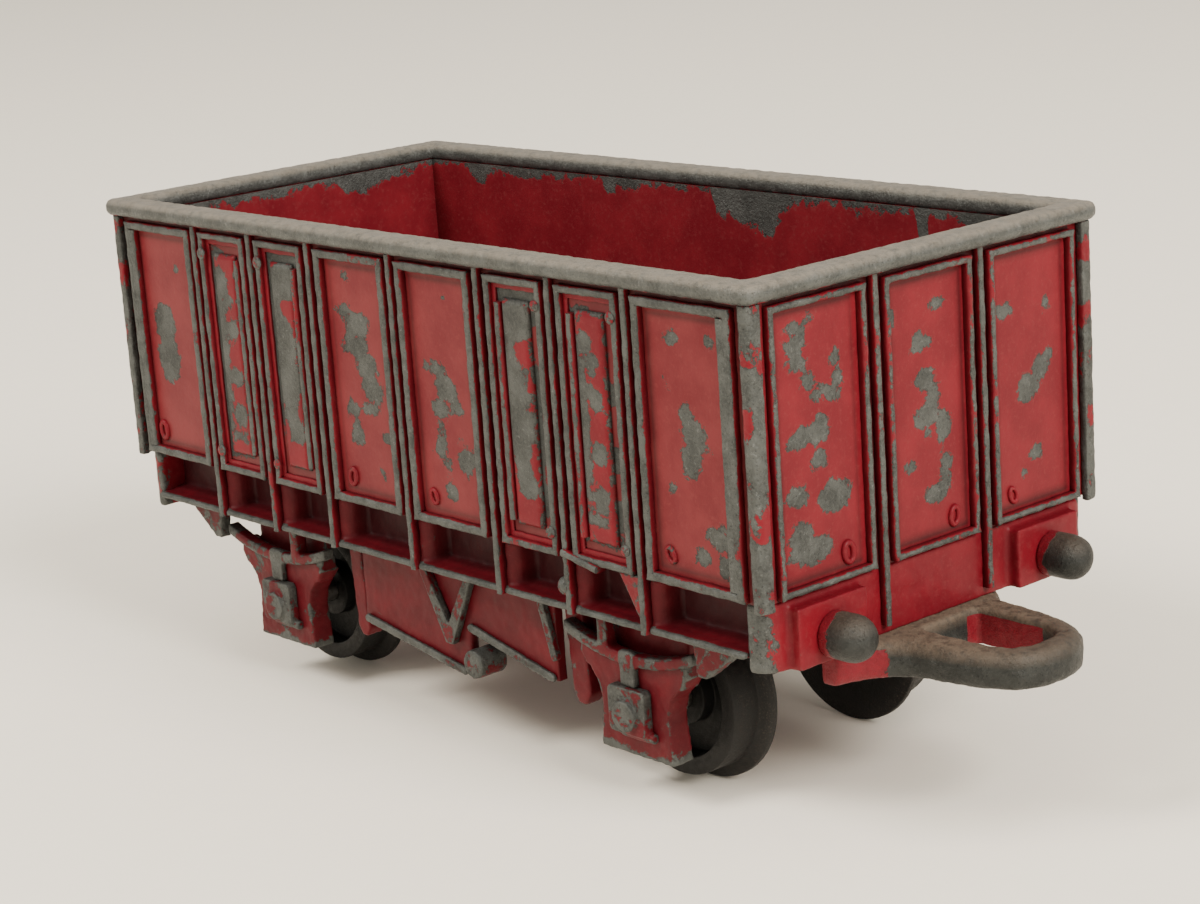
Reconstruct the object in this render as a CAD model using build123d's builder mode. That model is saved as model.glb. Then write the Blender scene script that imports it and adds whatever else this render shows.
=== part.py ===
"""Die-cast railway mineral wagon for 9 mm gauge track, as separate pieces.

X runs along the wagon with the coupling loop at +X ("front"), Y runs across it and Z is up.
The origin is mid-wagon, on the track centre line, at the level of the rail tops.
All sizes are millimetres.
"""

import os

from build123d import *

# Track and wheels
wheel_back = 3.75  # half the distance between the two wheels on an axle
wheel_width = 1.75
flange_width = 0.5
tread_radius = 3.05
flange_depth = 0.5
wheel_rim_thickness = 0.7
wheel_dish_depth = 0.85
wheel_web = 0.5
wheel_hub_radius = 1.15
wheel_headroom = 0.4  # from the flanges to the base plate
axle_offset = 11.1  # half the wheelbase
axle_radius = 0.5
axle_cover = 0.25  # metal left between an axle's end and its guard's face, before end clearance
axle_running_clearance = 0.05
axle_end_clearance = 0.1

# Tub
body_half_length = 19.2
body_half_width = 8.66
wall = 0.7
floor_thickness = 0.7
deck_rise = 1.9  # from the underside of the base plate to the underside of the tub
wall_height = 10.5
rim_height = 0.7
rim_overhang = 0.6
rim_round = 0.28
rim_corner = 0.5

# Raised work on the walls
proud = 0.33  # how far frames, ribs and corner posts stand out
rib_width = 0.33
frame_bottom_margin = 0.06
frame_top_margin = 0.2
stile = 0.66
door_stile = 0.5
door_inset = 0.85  # outer edge of a door's inner panel, from the frame's outer edge
door_panel_height = 0.2
hinge_rod_radius = 0.16
hinge_rod_inset = 0.66
hinge_rod_margin = 1.0  # from a door's top and bottom to the ends of its hinge rods
latch_radius = 0.26
latch_height = 0.14
latch_inset = 0.9
fixed_panels = [(0.4, 4.82), (13.71, 18.59)]  # inner and outer edges from mid-wagon
door_panels = [(5.73, 8.9), (9.72, 12.95)]
side_ribs = [0.0, 5.275, 9.31, 13.33]
end_stile = 0.48
end_panel_edges = [(-7.99, -3.22), (-2.29, 2.29), (3.22, 7.99)]
end_rib = 2.755
end_rib_lip = 0.25  # lips are below the underside of the base plate
corner_post_length = 0.5
corner_post_width = 0.62
corner_post_drop = 0.2  # drops are below the underside of the tub
corner_post_round = 0.22

# Underframe
solebar_lip = 0.15
solebar_inset = 0.66  # from the tub's side
solebar_thickness = 0.8
flange_thickness = 0.27
flange_lip = 0.2  # how far the flange stands out past the tub's side
rib_notch_clearance = 0.02
pillar_radius = 0.6
base_thickness = 0.8
rivet_offset = 5.2
rivet_radius = 0.7
rivet_head_radius = 1.15
rivet_head_height = 0.3
rivet_shoulder_radius = 1.3
headstock_thickness = 0.9
headstock_lip = 0.6
headstock_round = 0.75
pad_proud = 0.5
pad_top_drop = 0.3
pad_inner = 4.05
pad_outer = 7.5

# Buffers and couplings
buffer_offset = 5.85
buffer_rise = 0.95  # above the underside of the headstock
buffer_radius = 0.85
buffer_length = 1.8
buffer_round = 0.8
loop_thickness = 1.4
loop_root = {"right": 5.2, "left": 3.6}  # the loop's root is wider on one side of the middle
loop_half_width = 2.8
loop_widest = 2.2  # these reaches are past the end of the body
loop_reach = 5.9
loop_hole_start = 0.65
loop_hole_end = 4.9
loop_hole_half_width = 1.5
loop_hole_bend = 1.6  # length of the hole's rounded end
loop_edge_round = 0.42
loop_square_edge = 0.7  # length of the root that keeps square edges
hook_half_width = 1.1
hook_reach = 3.2
hook_thickness = 0.8
peg_radius = 0.6
peg_length = 1.3
peg_reach = 2.4

# Axleguards, springs and axleboxes
guard_inset = 0.35  # from the solebar's face
guard_thickness = 1.0
guard_foot_drop = 1.7  # below the axle
guard_waist_rise = 0.05  # rises are above the axle
guard_rise = 1.85
guard_top_half_width = 2.95
guard_waist_half_width = 1.95
guard_bottom_half_width = 2.35
guard_stem_thickness = 0.35
guard_stem_half_width = 2.4
spring_half_length = 3.5
spring_thickness = 0.45
spring_proud = 0.25
spring_depth = 0.6
spring_sag = 0.7
buckle_half_width = 0.38
buckle_proud = 0.3
buckle_rise = 0.15  # above the leaves at their middle
shackle_offsets = [-1.35, 0.9, 2.85]
shackle_width = 0.5
box_half_width = 0.98
box_foot_drop = 0.75  # below the axle
box_rise = 1.05
box_proud = 0.45
cover_radius = 0.6
cover_proud = 0.2
shoe_start = 14.75
shoe_end = 16.9
shoe_drop = 1.5
shoe_thickness = 0.5
shoe_toe = 0.7
shoe_heel = 0.4

# Brake gear, with heights as depths below the solebars
skirt_inset = 0.55  # from the solebar's face
skirt_thickness = 0.45
skirt_rear_edge = [(-5.5, 3.5), (0.9, 4.5)]  # lower edge, up to the brake shaft
skirt_front_edge = [(6.6, 3.7)]  # lower edge, past the brake shaft
skirt_notch = (4.45, 2.55)  # foot and head of the upright edge beside the brake shaft
skirt_shaft_gap = 0.02
push_rods = [((-5.2, 3.35), (1.0, 4.35)), ((1.6, 2.45), (6.4, 3.5))]
push_rod_width = 0.34
push_rod_proud = 0.2
v_centre = 0.4
v_half_width = 1.85
v_depth = 3.3
v_leg_width = 0.42
v_proud = 0.35
brake_shaft_place = (1.98, 3.8)
brake_shaft_radius = 0.58
brake_shaft_inset = 1.4  # its two ends, from the solebar's face
brake_shaft_cover = 0.05
block_places = [(7.25, 8.25), (-6.35, -5.55)]  # each block's two edges along the wagon
block_depth = 4.35
block_lean = 0.25
block_thickness = 0.8
block_hold = 0.1  # how far a block reaches beneath the solebar
hanger_width = 0.35
hanger_foot = (6.75, 2.55)
hanger_head = (6.15, 0.55)
hanger_proud = 0.3

# Heights above the rails
base_bottom = 2 * tread_radius + flange_depth + wheel_headroom
wall_bottom = base_bottom + deck_rise
wall_top = wall_bottom + wall_height
frame_bottom = wall_bottom + frame_bottom_margin
frame_top = wall_top - frame_top_margin
solebar_bottom = base_bottom - solebar_lip
headstock_bottom = base_bottom - headstock_lip
guard_top = tread_radius + guard_rise
spring_low = guard_top  # underside of the spring at its middle
box_top = tread_radius + box_rise

# Distances out from the middle of the wagon
solebar_face = body_half_width - solebar_inset
flange_reach = body_half_width + flange_lip
guard_face = solebar_face - guard_inset
axle_end = guard_face - axle_cover
spring_face = guard_face + spring_proud
skirt_face = solebar_face - skirt_inset

sides = {"right": -1, "left": 1}
ends = {"front": 1, "rear": -1}


def side_plane(side, distance):
    """Plane facing along Y, `distance` out from the middle, with local axes X and Z."""
    return Plane(origin=(0, side * distance, 0), x_dir=(1, 0, 0), z_dir=(0, -1, 0))


def end_plane(end, distance):
    """Plane facing along X, `distance` out from the middle, with local axes Y and Z."""
    return Plane(origin=(end * distance, 0, 0), x_dir=(0, 1, 0), z_dir=(1, 0, 0))


def finish(builder, label):
    """Name a finished piece and write it."""
    builder.part.label = label
    export_step(builder.part, f"parts/{label}.step")


def rectangle(low, high):
    """Rectangle in the current sketch from its low corner to its high corner."""
    with Locations(((low[0] + high[0]) / 2, (low[1] + high[1]) / 2)):
        Rectangle(high[0] - low[0], high[1] - low[1])


def rectangle_cut(low, high):
    """As rectangle, taken away from the current sketch."""
    with Locations(((low[0] + high[0]) / 2, (low[1] + high[1]) / 2)):
        Rectangle(high[0] - low[0], high[1] - low[1], mode=Mode.SUBTRACT)


def frame_ring(left, right, bottom, top, width):
    """Hollow rectangle in the current sketch."""
    rectangle((left, bottom), (right, top))
    rectangle_cut((left + width, bottom + width), (right - width, top - width))


def both_ways(edges):
    """Edge pairs given from mid-wagon, on both halves of the wagon."""
    return [pair for inner, outer in edges for pair in ((inner, outer), (-outer, -inner))]


def below_solebar(places):
    """Points given by their place along the wagon and their depth below the solebars."""
    return [(x, solebar_bottom - depth) for x, depth in places]


def rib_places():
    """Every rib's place along a side, once each."""
    return sorted({place * way for place in side_ribs for way in (-1, 1)})


# ---------------------------------------------------------------- tub


def make_floor():
    with BuildPart() as floor:
        with BuildSketch(Plane.XY.offset(wall_bottom)):
            Rectangle(2 * (body_half_length - wall), 2 * (body_half_width - wall))
        extrude(amount=floor_thickness)
    finish(floor, "tub_floor")


def make_walls():
    for name, side in sides.items():
        with BuildPart() as side_wall:
            with BuildSketch(side_plane(side, body_half_width)):
                rectangle((-body_half_length, wall_bottom), (body_half_length, wall_top))
            extrude(amount=side * wall)
        finish(side_wall, f"side_wall_{name}")
    for name, end in ends.items():
        with BuildPart() as end_wall:
            with BuildSketch(end_plane(end, body_half_length)):
                half = body_half_width - wall
                rectangle((-half, wall_bottom), (half, wall_top))
            extrude(amount=-end * wall)
        finish(end_wall, f"end_wall_{name}")


def make_rim():
    with BuildPart() as rim:
        with BuildSketch(Plane.XY.offset(wall_top)):
            length = 2 * (body_half_length + rim_overhang)
            width = 2 * (body_half_width + rim_overhang)
            RectangleRounded(length, width, rim_corner)
            Rectangle(
                2 * (body_half_length - wall), 2 * (body_half_width - wall), mode=Mode.SUBTRACT
            )
        extrude(amount=rim_height)
        top = rim.faces().sort_by(Axis.Z)[-1]
        bottom = rim.faces().sort_by(Axis.Z)[0]
        fillet(top.edges() + bottom.outer_wire().edges(), rim_round)
    finish(rim, "top_rim")


def make_side_frames():
    for name, side in sides.items():
        with BuildPart() as frames:
            with BuildSketch(side_plane(side, body_half_width)):
                for left, right in both_ways(fixed_panels):
                    frame_ring(left, right, frame_bottom, frame_top, stile)
            extrude(amount=-side * proud)
        finish(frames, f"panel_frames_{name}")


def make_doors():
    for name, side in sides.items():
        with BuildPart() as leaves:
            with BuildSketch(side_plane(side, body_half_width)):
                for left, right in both_ways(door_panels):
                    frame_ring(left, right, frame_bottom, frame_top, door_stile)
            extrude(amount=-side * proud)
            with BuildSketch(side_plane(side, body_half_width)):
                for left, right in both_ways(door_panels):
                    rectangle(
                        (left + door_inset, frame_bottom + door_inset),
                        (right - door_inset, frame_top - door_inset),
                    )
            extrude(amount=-side * door_panel_height)
        finish(leaves, f"door_leaves_{name}")


def hinge_side(left, right):
    """The door edge nearer mid-wagon, which carries the hinge, and the way into the door."""
    return (left, 1) if abs(left) < abs(right) else (right, -1)


def make_door_fittings():
    with BuildPart() as rods:
        with BuildSketch(Plane.XY.offset(frame_bottom + hinge_rod_margin)):
            for side in sides.values():
                for left, right in both_ways(door_panels):
                    hinge, way = hinge_side(left, right)
                    seat = body_half_width + hinge_rod_radius
                    with Locations((hinge + way * hinge_rod_inset, side * seat)):
                        Circle(hinge_rod_radius)
        extrude(amount=frame_top - frame_bottom - 2 * hinge_rod_margin)
    finish(rods, "door_hinge_rods")

    with BuildPart() as latches:
        for side in sides.values():
            with BuildSketch(side_plane(side, body_half_width + proud)):
                for left, right in both_ways(door_panels):
                    hinge, way = hinge_side(left, right)
                    free = left + right - hinge
                    for height in (frame_bottom + latch_inset, frame_top - latch_inset):
                        with Locations((free - way * door_stile / 2, height)):
                            Circle(latch_radius)
            extrude(amount=-side * latch_height)
    finish(latches, "door_latches")


def make_ribs():
    for name, side in sides.items():
        with BuildPart() as ribs:
            with BuildSketch(side_plane(side, body_half_width)):
                for place in rib_places():
                    rectangle(
                        (place - rib_width / 2, solebar_bottom), (place + rib_width / 2, wall_top)
                    )
            extrude(amount=-side * proud)
        finish(ribs, f"side_ribs_{name}")
    for name, end in ends.items():
        with BuildPart() as end_ribs:
            with BuildSketch(end_plane(end, body_half_length)):
                for place in (-end_rib, end_rib):
                    rectangle(
                        (place - rib_width / 2, base_bottom - end_rib_lip),
                        (place + rib_width / 2, wall_top),
                    )
            extrude(amount=end * proud)
        finish(end_ribs, f"end_ribs_{name}")


def make_end_frames():
    for name, end in ends.items():
        with BuildPart() as frames:
            with BuildSketch(end_plane(end, body_half_length)):
                for left, right in end_panel_edges:
                    frame_ring(left, right, frame_bottom, frame_top, end_stile)
            extrude(amount=end * proud)
        finish(frames, f"end_panel_frames_{name}")


def make_corner_posts():
    with BuildPart() as posts:
        for side in sides.values():
            for end in ends.values():
                outer_x = end * (body_half_length + proud)
                outer_y = side * (body_half_width + proud)
                with BuildSketch(Plane.XY.offset(wall_bottom - corner_post_drop)):
                    corner = (outer_x - end * corner_post_length, outer_y - side * corner_post_width)
                    low = (min(corner[0], outer_x), min(corner[1], outer_y))
                    high = (max(corner[0], outer_x), max(corner[1], outer_y))
                    rectangle(low, high)
                    rounded = vertices().filter_by(
                        lambda v: abs(v.X) > body_half_length and abs(v.Y) > body_half_width
                    )
                    fillet(rounded, corner_post_round)
                    Rectangle(2 * body_half_length, 2 * body_half_width, mode=Mode.SUBTRACT)
                extrude(amount=wall_height + corner_post_drop)
    finish(posts, "corner_posts")


# ---------------------------------------------------------------- underframe


def make_solebars():
    inner = body_half_length - headstock_thickness
    for name, side in sides.items():
        with BuildPart() as solebar:
            with BuildSketch(side_plane(side, solebar_face)):
                rectangle((-inner, solebar_bottom), (inner, wall_bottom))
            extrude(amount=side * solebar_thickness)
            with BuildSketch(Plane.XY.offset(solebar_bottom)):
                reach = flange_reach - solebar_face
                with Locations((0, side * (solebar_face + reach / 2))):
                    Rectangle(2 * inner, reach)
                notch = rib_width + 2 * rib_notch_clearance
                depth = flange_reach - body_half_width
                with Locations(
                    [(x, side * (body_half_width + depth / 2)) for x in rib_places()]
                ):
                    Rectangle(notch, depth, mode=Mode.SUBTRACT)
            extrude(amount=flange_thickness)
            with BuildSketch(Plane.XY.offset(solebar_bottom)):
                with Locations([(x, side * solebar_face) for x in rib_places()]):
                    Circle(pillar_radius)
            extrude(amount=wall_bottom - solebar_bottom)
        finish(solebar, f"solebar_{name}")


def make_base():
    inner_x = body_half_length - headstock_thickness
    inner_y = solebar_face - solebar_thickness
    rivets = [(-rivet_offset, 0), (rivet_offset, 0)]
    with BuildPart() as base:
        with BuildSketch(Plane.XY.offset(base_bottom)):
            Rectangle(2 * inner_x, 2 * inner_y)
            with Locations(rivets):
                Circle(rivet_radius, mode=Mode.SUBTRACT)
        extrude(amount=base_thickness)
    finish(base, "base_plate")

    base_top = base_bottom + base_thickness
    with BuildPart() as spigots:
        with BuildSketch(Plane.XY.offset(base_bottom - rivet_head_height)):
            with Locations(rivets):
                Circle(rivet_head_radius)
        extrude(amount=rivet_head_height)
        with BuildSketch(Plane.XY.offset(base_bottom)):
            with Locations(rivets):
                Circle(rivet_radius)
        extrude(amount=base_thickness)
        with BuildSketch(Plane.XY.offset(base_top)):
            with Locations(rivets):
                Circle(rivet_shoulder_radius)
        extrude(amount=wall_bottom - base_top)
    finish(spigots, "base_rivets")


def make_headstocks():
    for name, end in ends.items():
        with BuildPart() as headstock:
            with BuildSketch(Plane.XY.offset(headstock_bottom)):
                middle = body_half_length - headstock_thickness / 2
                with Locations((end * middle, 0)):
                    Rectangle(headstock_thickness, 2 * body_half_width)
                outer = vertices().group_by(Axis.X)[-1 if end > 0 else 0]
                fillet(outer, headstock_round)
            extrude(amount=wall_bottom - headstock_bottom)
            with BuildSketch(end_plane(end, body_half_length)):
                for side in sides.values():
                    edges = sorted((side * pad_inner, side * pad_outer))
                    rectangle((edges[0], headstock_bottom), (edges[1], wall_bottom - pad_top_drop))
            extrude(amount=end * pad_proud)
        finish(headstock, f"headstock_{name}")


def make_buffers():
    for end_name, end in ends.items():
        for side_name, side in sides.items():
            with BuildPart() as buffer:
                with BuildSketch(end_plane(end, body_half_length + pad_proud)):
                    with Locations((side * buffer_offset, headstock_bottom + buffer_rise)):
                        Circle(buffer_radius)
                extrude(amount=end * buffer_length)
                outermost = buffer.edges().sort_by(Axis.X)[-1 if end > 0 else 0]
                fillet(outermost, buffer_round)
            finish(buffer, f"buffer_{end_name}_{side_name}")


# ---------------------------------------------------------------- couplings


def make_loop():
    with BuildPart() as loop:
        with BuildSketch(Plane.XY.offset(headstock_bottom - loop_thickness)):
            with BuildLine():
                flare = (body_half_length, loop_root["left"])
                far_flare = (body_half_length, -loop_root["right"])
                neck = (body_half_length + loop_widest, loop_half_width)
                far_neck = (neck[0], -loop_half_width)
                tip = (body_half_length + loop_reach, 0)
                root = body_half_length - headstock_thickness
                Polyline(far_flare, (root, far_flare[1]), (root, flare[1]), flare)
                Spline(flare, neck, tangents=((0.25, -1), (1, -0.12)))
                Spline(neck, tip, tangents=((1, -0.12), (0, -1)))
                Spline(tip, far_neck, tangents=((0, -1), (-1, -0.12)))
                Spline(far_neck, far_flare, tangents=((-1, -0.12), (-0.25, -1)))
            make_face()
            with BuildLine():
                start = (body_half_length + loop_hole_start, loop_hole_half_width)
                hole_end = body_half_length + loop_hole_end
                bend = (hole_end - loop_hole_bend, loop_hole_half_width)
                Line((start[0], -start[1]), start)
                Line(start, bend)
                Spline(bend, (hole_end, 0), tangents=((1, 0), (0, -1)))
                Spline((hole_end, 0), (bend[0], -bend[1]), tangents=((0, -1), (-1, 0)))
                Line((bend[0], -bend[1]), (start[0], -start[1]))
            make_face(mode=Mode.SUBTRACT)
        extrude(amount=loop_thickness)
        rounded = loop.edges().filter_by(
            lambda e: e.center().X > body_half_length + loop_square_edge
            and abs(e.bounding_box().size.Z) < 1e-6
            and (abs(e.center().Y) > loop_hole_half_width + 0.1 or e.center().X > hole_end)
        )
        fillet(rounded, loop_edge_round)
    finish(loop, "coupling_loop")


def make_hook():
    with BuildPart() as hook:
        with BuildSketch(Plane.XY.offset(headstock_bottom - hook_thickness)):
            tip = -body_half_length - hook_reach
            root = -body_half_length + headstock_thickness
            rectangle((tip, -hook_half_width), (root, hook_half_width))
            fillet(vertices().group_by(Axis.X)[0], hook_half_width * 0.9)
        extrude(amount=hook_thickness)
        with BuildSketch(Plane.XY.offset(headstock_bottom)):
            with Locations((-body_half_length - peg_reach, 0)):
                Circle(peg_radius)
        extrude(amount=peg_length)
    finish(hook, "coupling_peg")


# ---------------------------------------------------------------- running gear


def make_axleguard(end, side):
    centre = end * axle_offset
    with BuildPart() as guard:
        with BuildSketch(side_plane(side, guard_face)):
            with BuildLine():
                foot = tread_radius - guard_foot_drop
                waist = tread_radius + guard_waist_rise
                Polyline(
                    (centre - guard_bottom_half_width, foot),
                    (centre - guard_waist_half_width, waist),
                    (centre - guard_top_half_width, guard_top),
                    (centre + guard_top_half_width, guard_top),
                    (centre + guard_waist_half_width, waist),
                    (centre + guard_bottom_half_width, foot),
                    close=True,
                )
            make_face()
        extrude(amount=side * guard_thickness)
        inner_face = guard_face - guard_thickness
        with BuildSketch(side_plane(side, inner_face)):
            half = guard_stem_half_width
            rectangle((centre - half, guard_top), (centre + half, base_bottom))
        extrude(amount=-side * guard_stem_thickness)
        with BuildSketch(side_plane(side, inner_face)):
            with Locations((centre, tread_radius)):
                Circle(axle_radius + axle_running_clearance)
        bore_depth = axle_end + axle_end_clearance - inner_face
        extrude(amount=-side * bore_depth, mode=Mode.SUBTRACT)
    return guard


def make_spring(end, side):
    centre = end * axle_offset
    with BuildPart() as spring:
        with BuildSketch(side_plane(side, spring_face)):
            with BuildLine():
                left = (centre - spring_half_length, spring_low + spring_sag)
                right = (centre + spring_half_length, spring_low + spring_sag)
                lower = ThreePointArc(left, (centre, spring_low), right)
                upper = ThreePointArc(
                    (left[0], left[1] + spring_thickness),
                    (centre, spring_low + spring_thickness),
                    (right[0], right[1] + spring_thickness),
                )
                Line(lower @ 0, upper @ 0)
                Line(lower @ 1, upper @ 1)
            make_face()
            with BuildLine():
                lift = spring_low + spring_thickness / 2
                for offset in shackle_offsets:
                    x = centre + end * offset
                    half = shackle_width / 2
                    Polyline(
                        (x - half, lift + spring_sag / 3),
                        (x + half, lift + spring_sag / 3),
                        (x + half, solebar_bottom),
                        (x - half, solebar_bottom),
                        close=True,
                    )
            make_face()
        extrude(amount=side * spring_depth)
        with BuildSketch(side_plane(side, guard_face)):
            buckle_top = spring_low + spring_thickness + buckle_rise
            half = buckle_half_width
            rectangle((centre - half, box_top), (centre + half, buckle_top))
        extrude(amount=-side * buckle_proud)
    return spring


def make_axlebox(end, side):
    centre = end * axle_offset
    with BuildPart() as box:
        with BuildSketch(side_plane(side, guard_face)):
            foot = tread_radius - box_foot_drop
            rectangle((centre - box_half_width, foot), (centre + box_half_width, box_top))
            fillet(vertices(), 0.2)
        extrude(amount=-side * box_proud)
        with BuildSketch(side_plane(side, guard_face + box_proud)):
            with Locations((centre, tread_radius)):
                Circle(cover_radius)
        extrude(amount=-side * cover_proud)
    return box


def make_running_gear():
    for end_name, end in ends.items():
        for side_name, side in sides.items():
            corner = f"{end_name}_{side_name}"
            finish(make_axleguard(end, side), f"axleguard_{corner}")
            finish(make_spring(end, side), f"leaf_spring_{corner}")
            finish(make_axlebox(end, side), f"axlebox_{corner}")


def make_spring_shoes():
    with BuildPart() as shoes:
        for side in sides.values():
            with BuildSketch(side_plane(side, solebar_face)):
                for end in ends.values():
                    with BuildLine():
                        Polyline(
                            (end * shoe_start, solebar_bottom),
                            (end * (shoe_start + shoe_toe / 3), solebar_bottom - shoe_drop),
                            (end * (shoe_start + shoe_toe), solebar_bottom - shoe_drop),
                            (end * shoe_end, solebar_bottom - shoe_heel),
                            (end * shoe_end, solebar_bottom),
                            close=True,
                        )
                    make_face()
            extrude(amount=side * shoe_thickness)
    finish(shoes, "spring_shoes")


def make_wheelset(end_name, end):
    centre = end * axle_offset
    with BuildPart() as axle:
        with BuildSketch(side_plane(-1, axle_end)):
            with Locations((centre, tread_radius)):
                Circle(axle_radius)
        extrude(amount=-2 * axle_end)
    finish(axle, f"axle_{end_name}")

    flange_radius = tread_radius + flange_depth
    outer = wheel_back + wheel_width
    dish_back = outer - wheel_dish_depth
    rim_inner = tread_radius - wheel_rim_thickness
    for side_name, side in sides.items():
        with BuildPart() as wheel:
            with BuildSketch(Plane(origin=(centre, 0, 0), x_dir=(0, 1, 0), z_dir=(1, 0, 0))):
                with BuildLine():
                    Polyline(
                        (side * wheel_back, tread_radius + axle_radius),
                        (side * wheel_back, tread_radius + flange_radius),
                        (side * (wheel_back + flange_width * 0.6), tread_radius + flange_radius),
                        (side * (wheel_back + flange_width), 2 * tread_radius),
                        (side * outer, 2 * tread_radius),
                        (side * outer, tread_radius + rim_inner),
                        (side * dish_back, tread_radius + rim_inner),
                        (side * dish_back, tread_radius + wheel_hub_radius),
                        (side * (outer - wheel_web / 2), tread_radius + wheel_hub_radius),
                        (side * (outer - wheel_web / 2), tread_radius + axle_radius),
                        close=True,
                    )
                make_face()
            revolve(axis=Axis((centre, 0, tread_radius), (0, 1, 0)))
        finish(wheel, f"wheel_{end_name}_{side_name}")


# ---------------------------------------------------------------- brake gear


def bar_between(start, stop, width):
    """Straight bar in the current sketch, with rounded ends at two points."""
    middle = ((start[0] + stop[0]) / 2, (start[1] + stop[1]) / 2)
    run = Vector(stop[0] - start[0], stop[1] - start[1])
    angle = Vector(1, 0).get_signed_angle(run, Vector(0, 0, 1))
    with Locations(Location((middle[0], middle[1], 0), (0, 0, angle))):
        SlotCenterToCenter(run.length, width)


def make_brakes():
    for name, side in sides.items():
        with BuildPart() as skirt:
            with BuildSketch(side_plane(side, skirt_face)):
                notch_x = brake_shaft_place[0] - brake_shaft_radius - skirt_shaft_gap
                with BuildLine():
                    Polyline(
                        (skirt_front_edge[-1][0], solebar_bottom),
                        (skirt_rear_edge[0][0], solebar_bottom),
                        *below_solebar(skirt_rear_edge),
                        *below_solebar([(notch_x, depth) for depth in skirt_notch]),
                        *below_solebar(skirt_front_edge),
                        close=True,
                    )
                make_face()
            extrude(amount=side * skirt_thickness)
        finish(skirt, f"brake_skirt_{name}")

        with BuildPart() as rods:
            with BuildSketch(side_plane(side, skirt_face)):
                for rod in push_rods:
                    bar_between(*below_solebar(rod), push_rod_width)
            extrude(amount=-side * push_rod_proud)
        finish(rods, f"push_rods_{name}")

        with BuildPart() as hanger:
            with BuildSketch(side_plane(side, skirt_face)):
                with BuildLine():
                    inner_half = v_half_width - v_leg_width
                    v_apex = solebar_bottom - v_depth
                    Polyline(
                        (v_centre - v_half_width, solebar_bottom),
                        (v_centre - v_leg_width / 2, v_apex),
                        (v_centre + v_leg_width / 2, v_apex),
                        (v_centre + v_half_width, solebar_bottom),
                        (v_centre + inner_half, solebar_bottom),
                        (v_centre, v_apex + 2 * v_leg_width),
                        (v_centre - inner_half, solebar_bottom),
                        close=True,
                    )
                make_face()
            extrude(amount=-side * v_proud)
        finish(hanger, f"v_hanger_{name}")


def make_brake_hangers():
    with BuildPart() as hangers:
        for side in sides.values():
            with BuildSketch(side_plane(side, skirt_face)):
                bar_between(*below_solebar([hanger_head, hanger_foot]), hanger_width)
            extrude(amount=-side * hanger_proud)
    finish(hangers, "brake_hangers")


def make_brake_blocks():
    block_face = solebar_face - solebar_thickness + block_hold
    block_bottom = solebar_bottom - block_depth
    with BuildPart() as blocks:
        for side in sides.values():
            with BuildSketch(side_plane(side, block_face)):
                for near, far in block_places:
                    width = far - near
                    with BuildLine():
                        Polyline(
                            (near - block_lean, solebar_bottom),
                            (near, block_bottom + width / 2),
                            (near + width * 0.3, block_bottom),
                            (far - width * 0.3, block_bottom),
                            (far, block_bottom + width / 2),
                            (far - block_lean, solebar_bottom),
                            close=True,
                        )
                    make_face()
            extrude(amount=side * block_thickness)
    finish(blocks, "brake_blocks")


def make_brake_shafts():
    with BuildPart() as shafts:
        for side in sides.values():
            with BuildSketch(side_plane(side, solebar_face - brake_shaft_cover)):
                with Locations(*below_solebar([brake_shaft_place])):
                    Circle(brake_shaft_radius)
            extrude(amount=side * (brake_shaft_inset - brake_shaft_cover))
    finish(shafts, "brake_shafts")


os.makedirs("parts", exist_ok=True)
make_floor()
make_walls()
make_rim()
make_side_frames()
make_doors()
make_door_fittings()
make_ribs()
make_end_frames()
make_corner_posts()
make_solebars()
make_base()
make_headstocks()
make_buffers()
make_loop()
make_hook()
make_running_gear()
make_spring_shoes()
for wheelset_name, wheelset_end in ends.items():
    make_wheelset(wheelset_name, wheelset_end)
make_brakes()
make_brake_hangers()
make_brake_blocks()
make_brake_shafts()
print(len(os.listdir("parts")), "pieces written")
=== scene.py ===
import bmesh
import bpy
import math
import numpy as np
from mathutils import Matrix, Vector


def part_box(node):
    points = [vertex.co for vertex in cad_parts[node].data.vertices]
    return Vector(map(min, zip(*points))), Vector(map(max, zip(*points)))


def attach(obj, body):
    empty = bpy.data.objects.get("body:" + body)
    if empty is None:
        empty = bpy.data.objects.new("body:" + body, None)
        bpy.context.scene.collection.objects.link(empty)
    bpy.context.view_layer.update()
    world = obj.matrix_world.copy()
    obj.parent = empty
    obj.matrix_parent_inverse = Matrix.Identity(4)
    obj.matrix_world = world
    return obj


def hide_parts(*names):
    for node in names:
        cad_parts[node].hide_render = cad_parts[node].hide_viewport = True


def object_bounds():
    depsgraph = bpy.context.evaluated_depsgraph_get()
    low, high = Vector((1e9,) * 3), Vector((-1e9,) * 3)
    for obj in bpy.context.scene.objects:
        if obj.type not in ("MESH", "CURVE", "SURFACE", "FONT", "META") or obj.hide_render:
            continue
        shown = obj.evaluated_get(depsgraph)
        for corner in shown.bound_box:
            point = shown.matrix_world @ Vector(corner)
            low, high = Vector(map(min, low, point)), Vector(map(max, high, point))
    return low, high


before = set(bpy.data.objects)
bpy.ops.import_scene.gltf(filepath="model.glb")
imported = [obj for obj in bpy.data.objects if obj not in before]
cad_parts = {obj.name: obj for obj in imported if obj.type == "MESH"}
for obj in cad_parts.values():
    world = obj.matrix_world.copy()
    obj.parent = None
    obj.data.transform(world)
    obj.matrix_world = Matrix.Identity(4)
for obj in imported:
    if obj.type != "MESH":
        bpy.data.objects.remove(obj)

cadBox = [list(corner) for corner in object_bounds()]
mm = 0.001
collection = bpy.context.scene.collection


# small helpers

def boxMm(node):
    # a CAD piece's low and high corners, in millimetres
    low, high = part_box(node)
    return Vector(low) / mm, Vector(high) / mm


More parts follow.
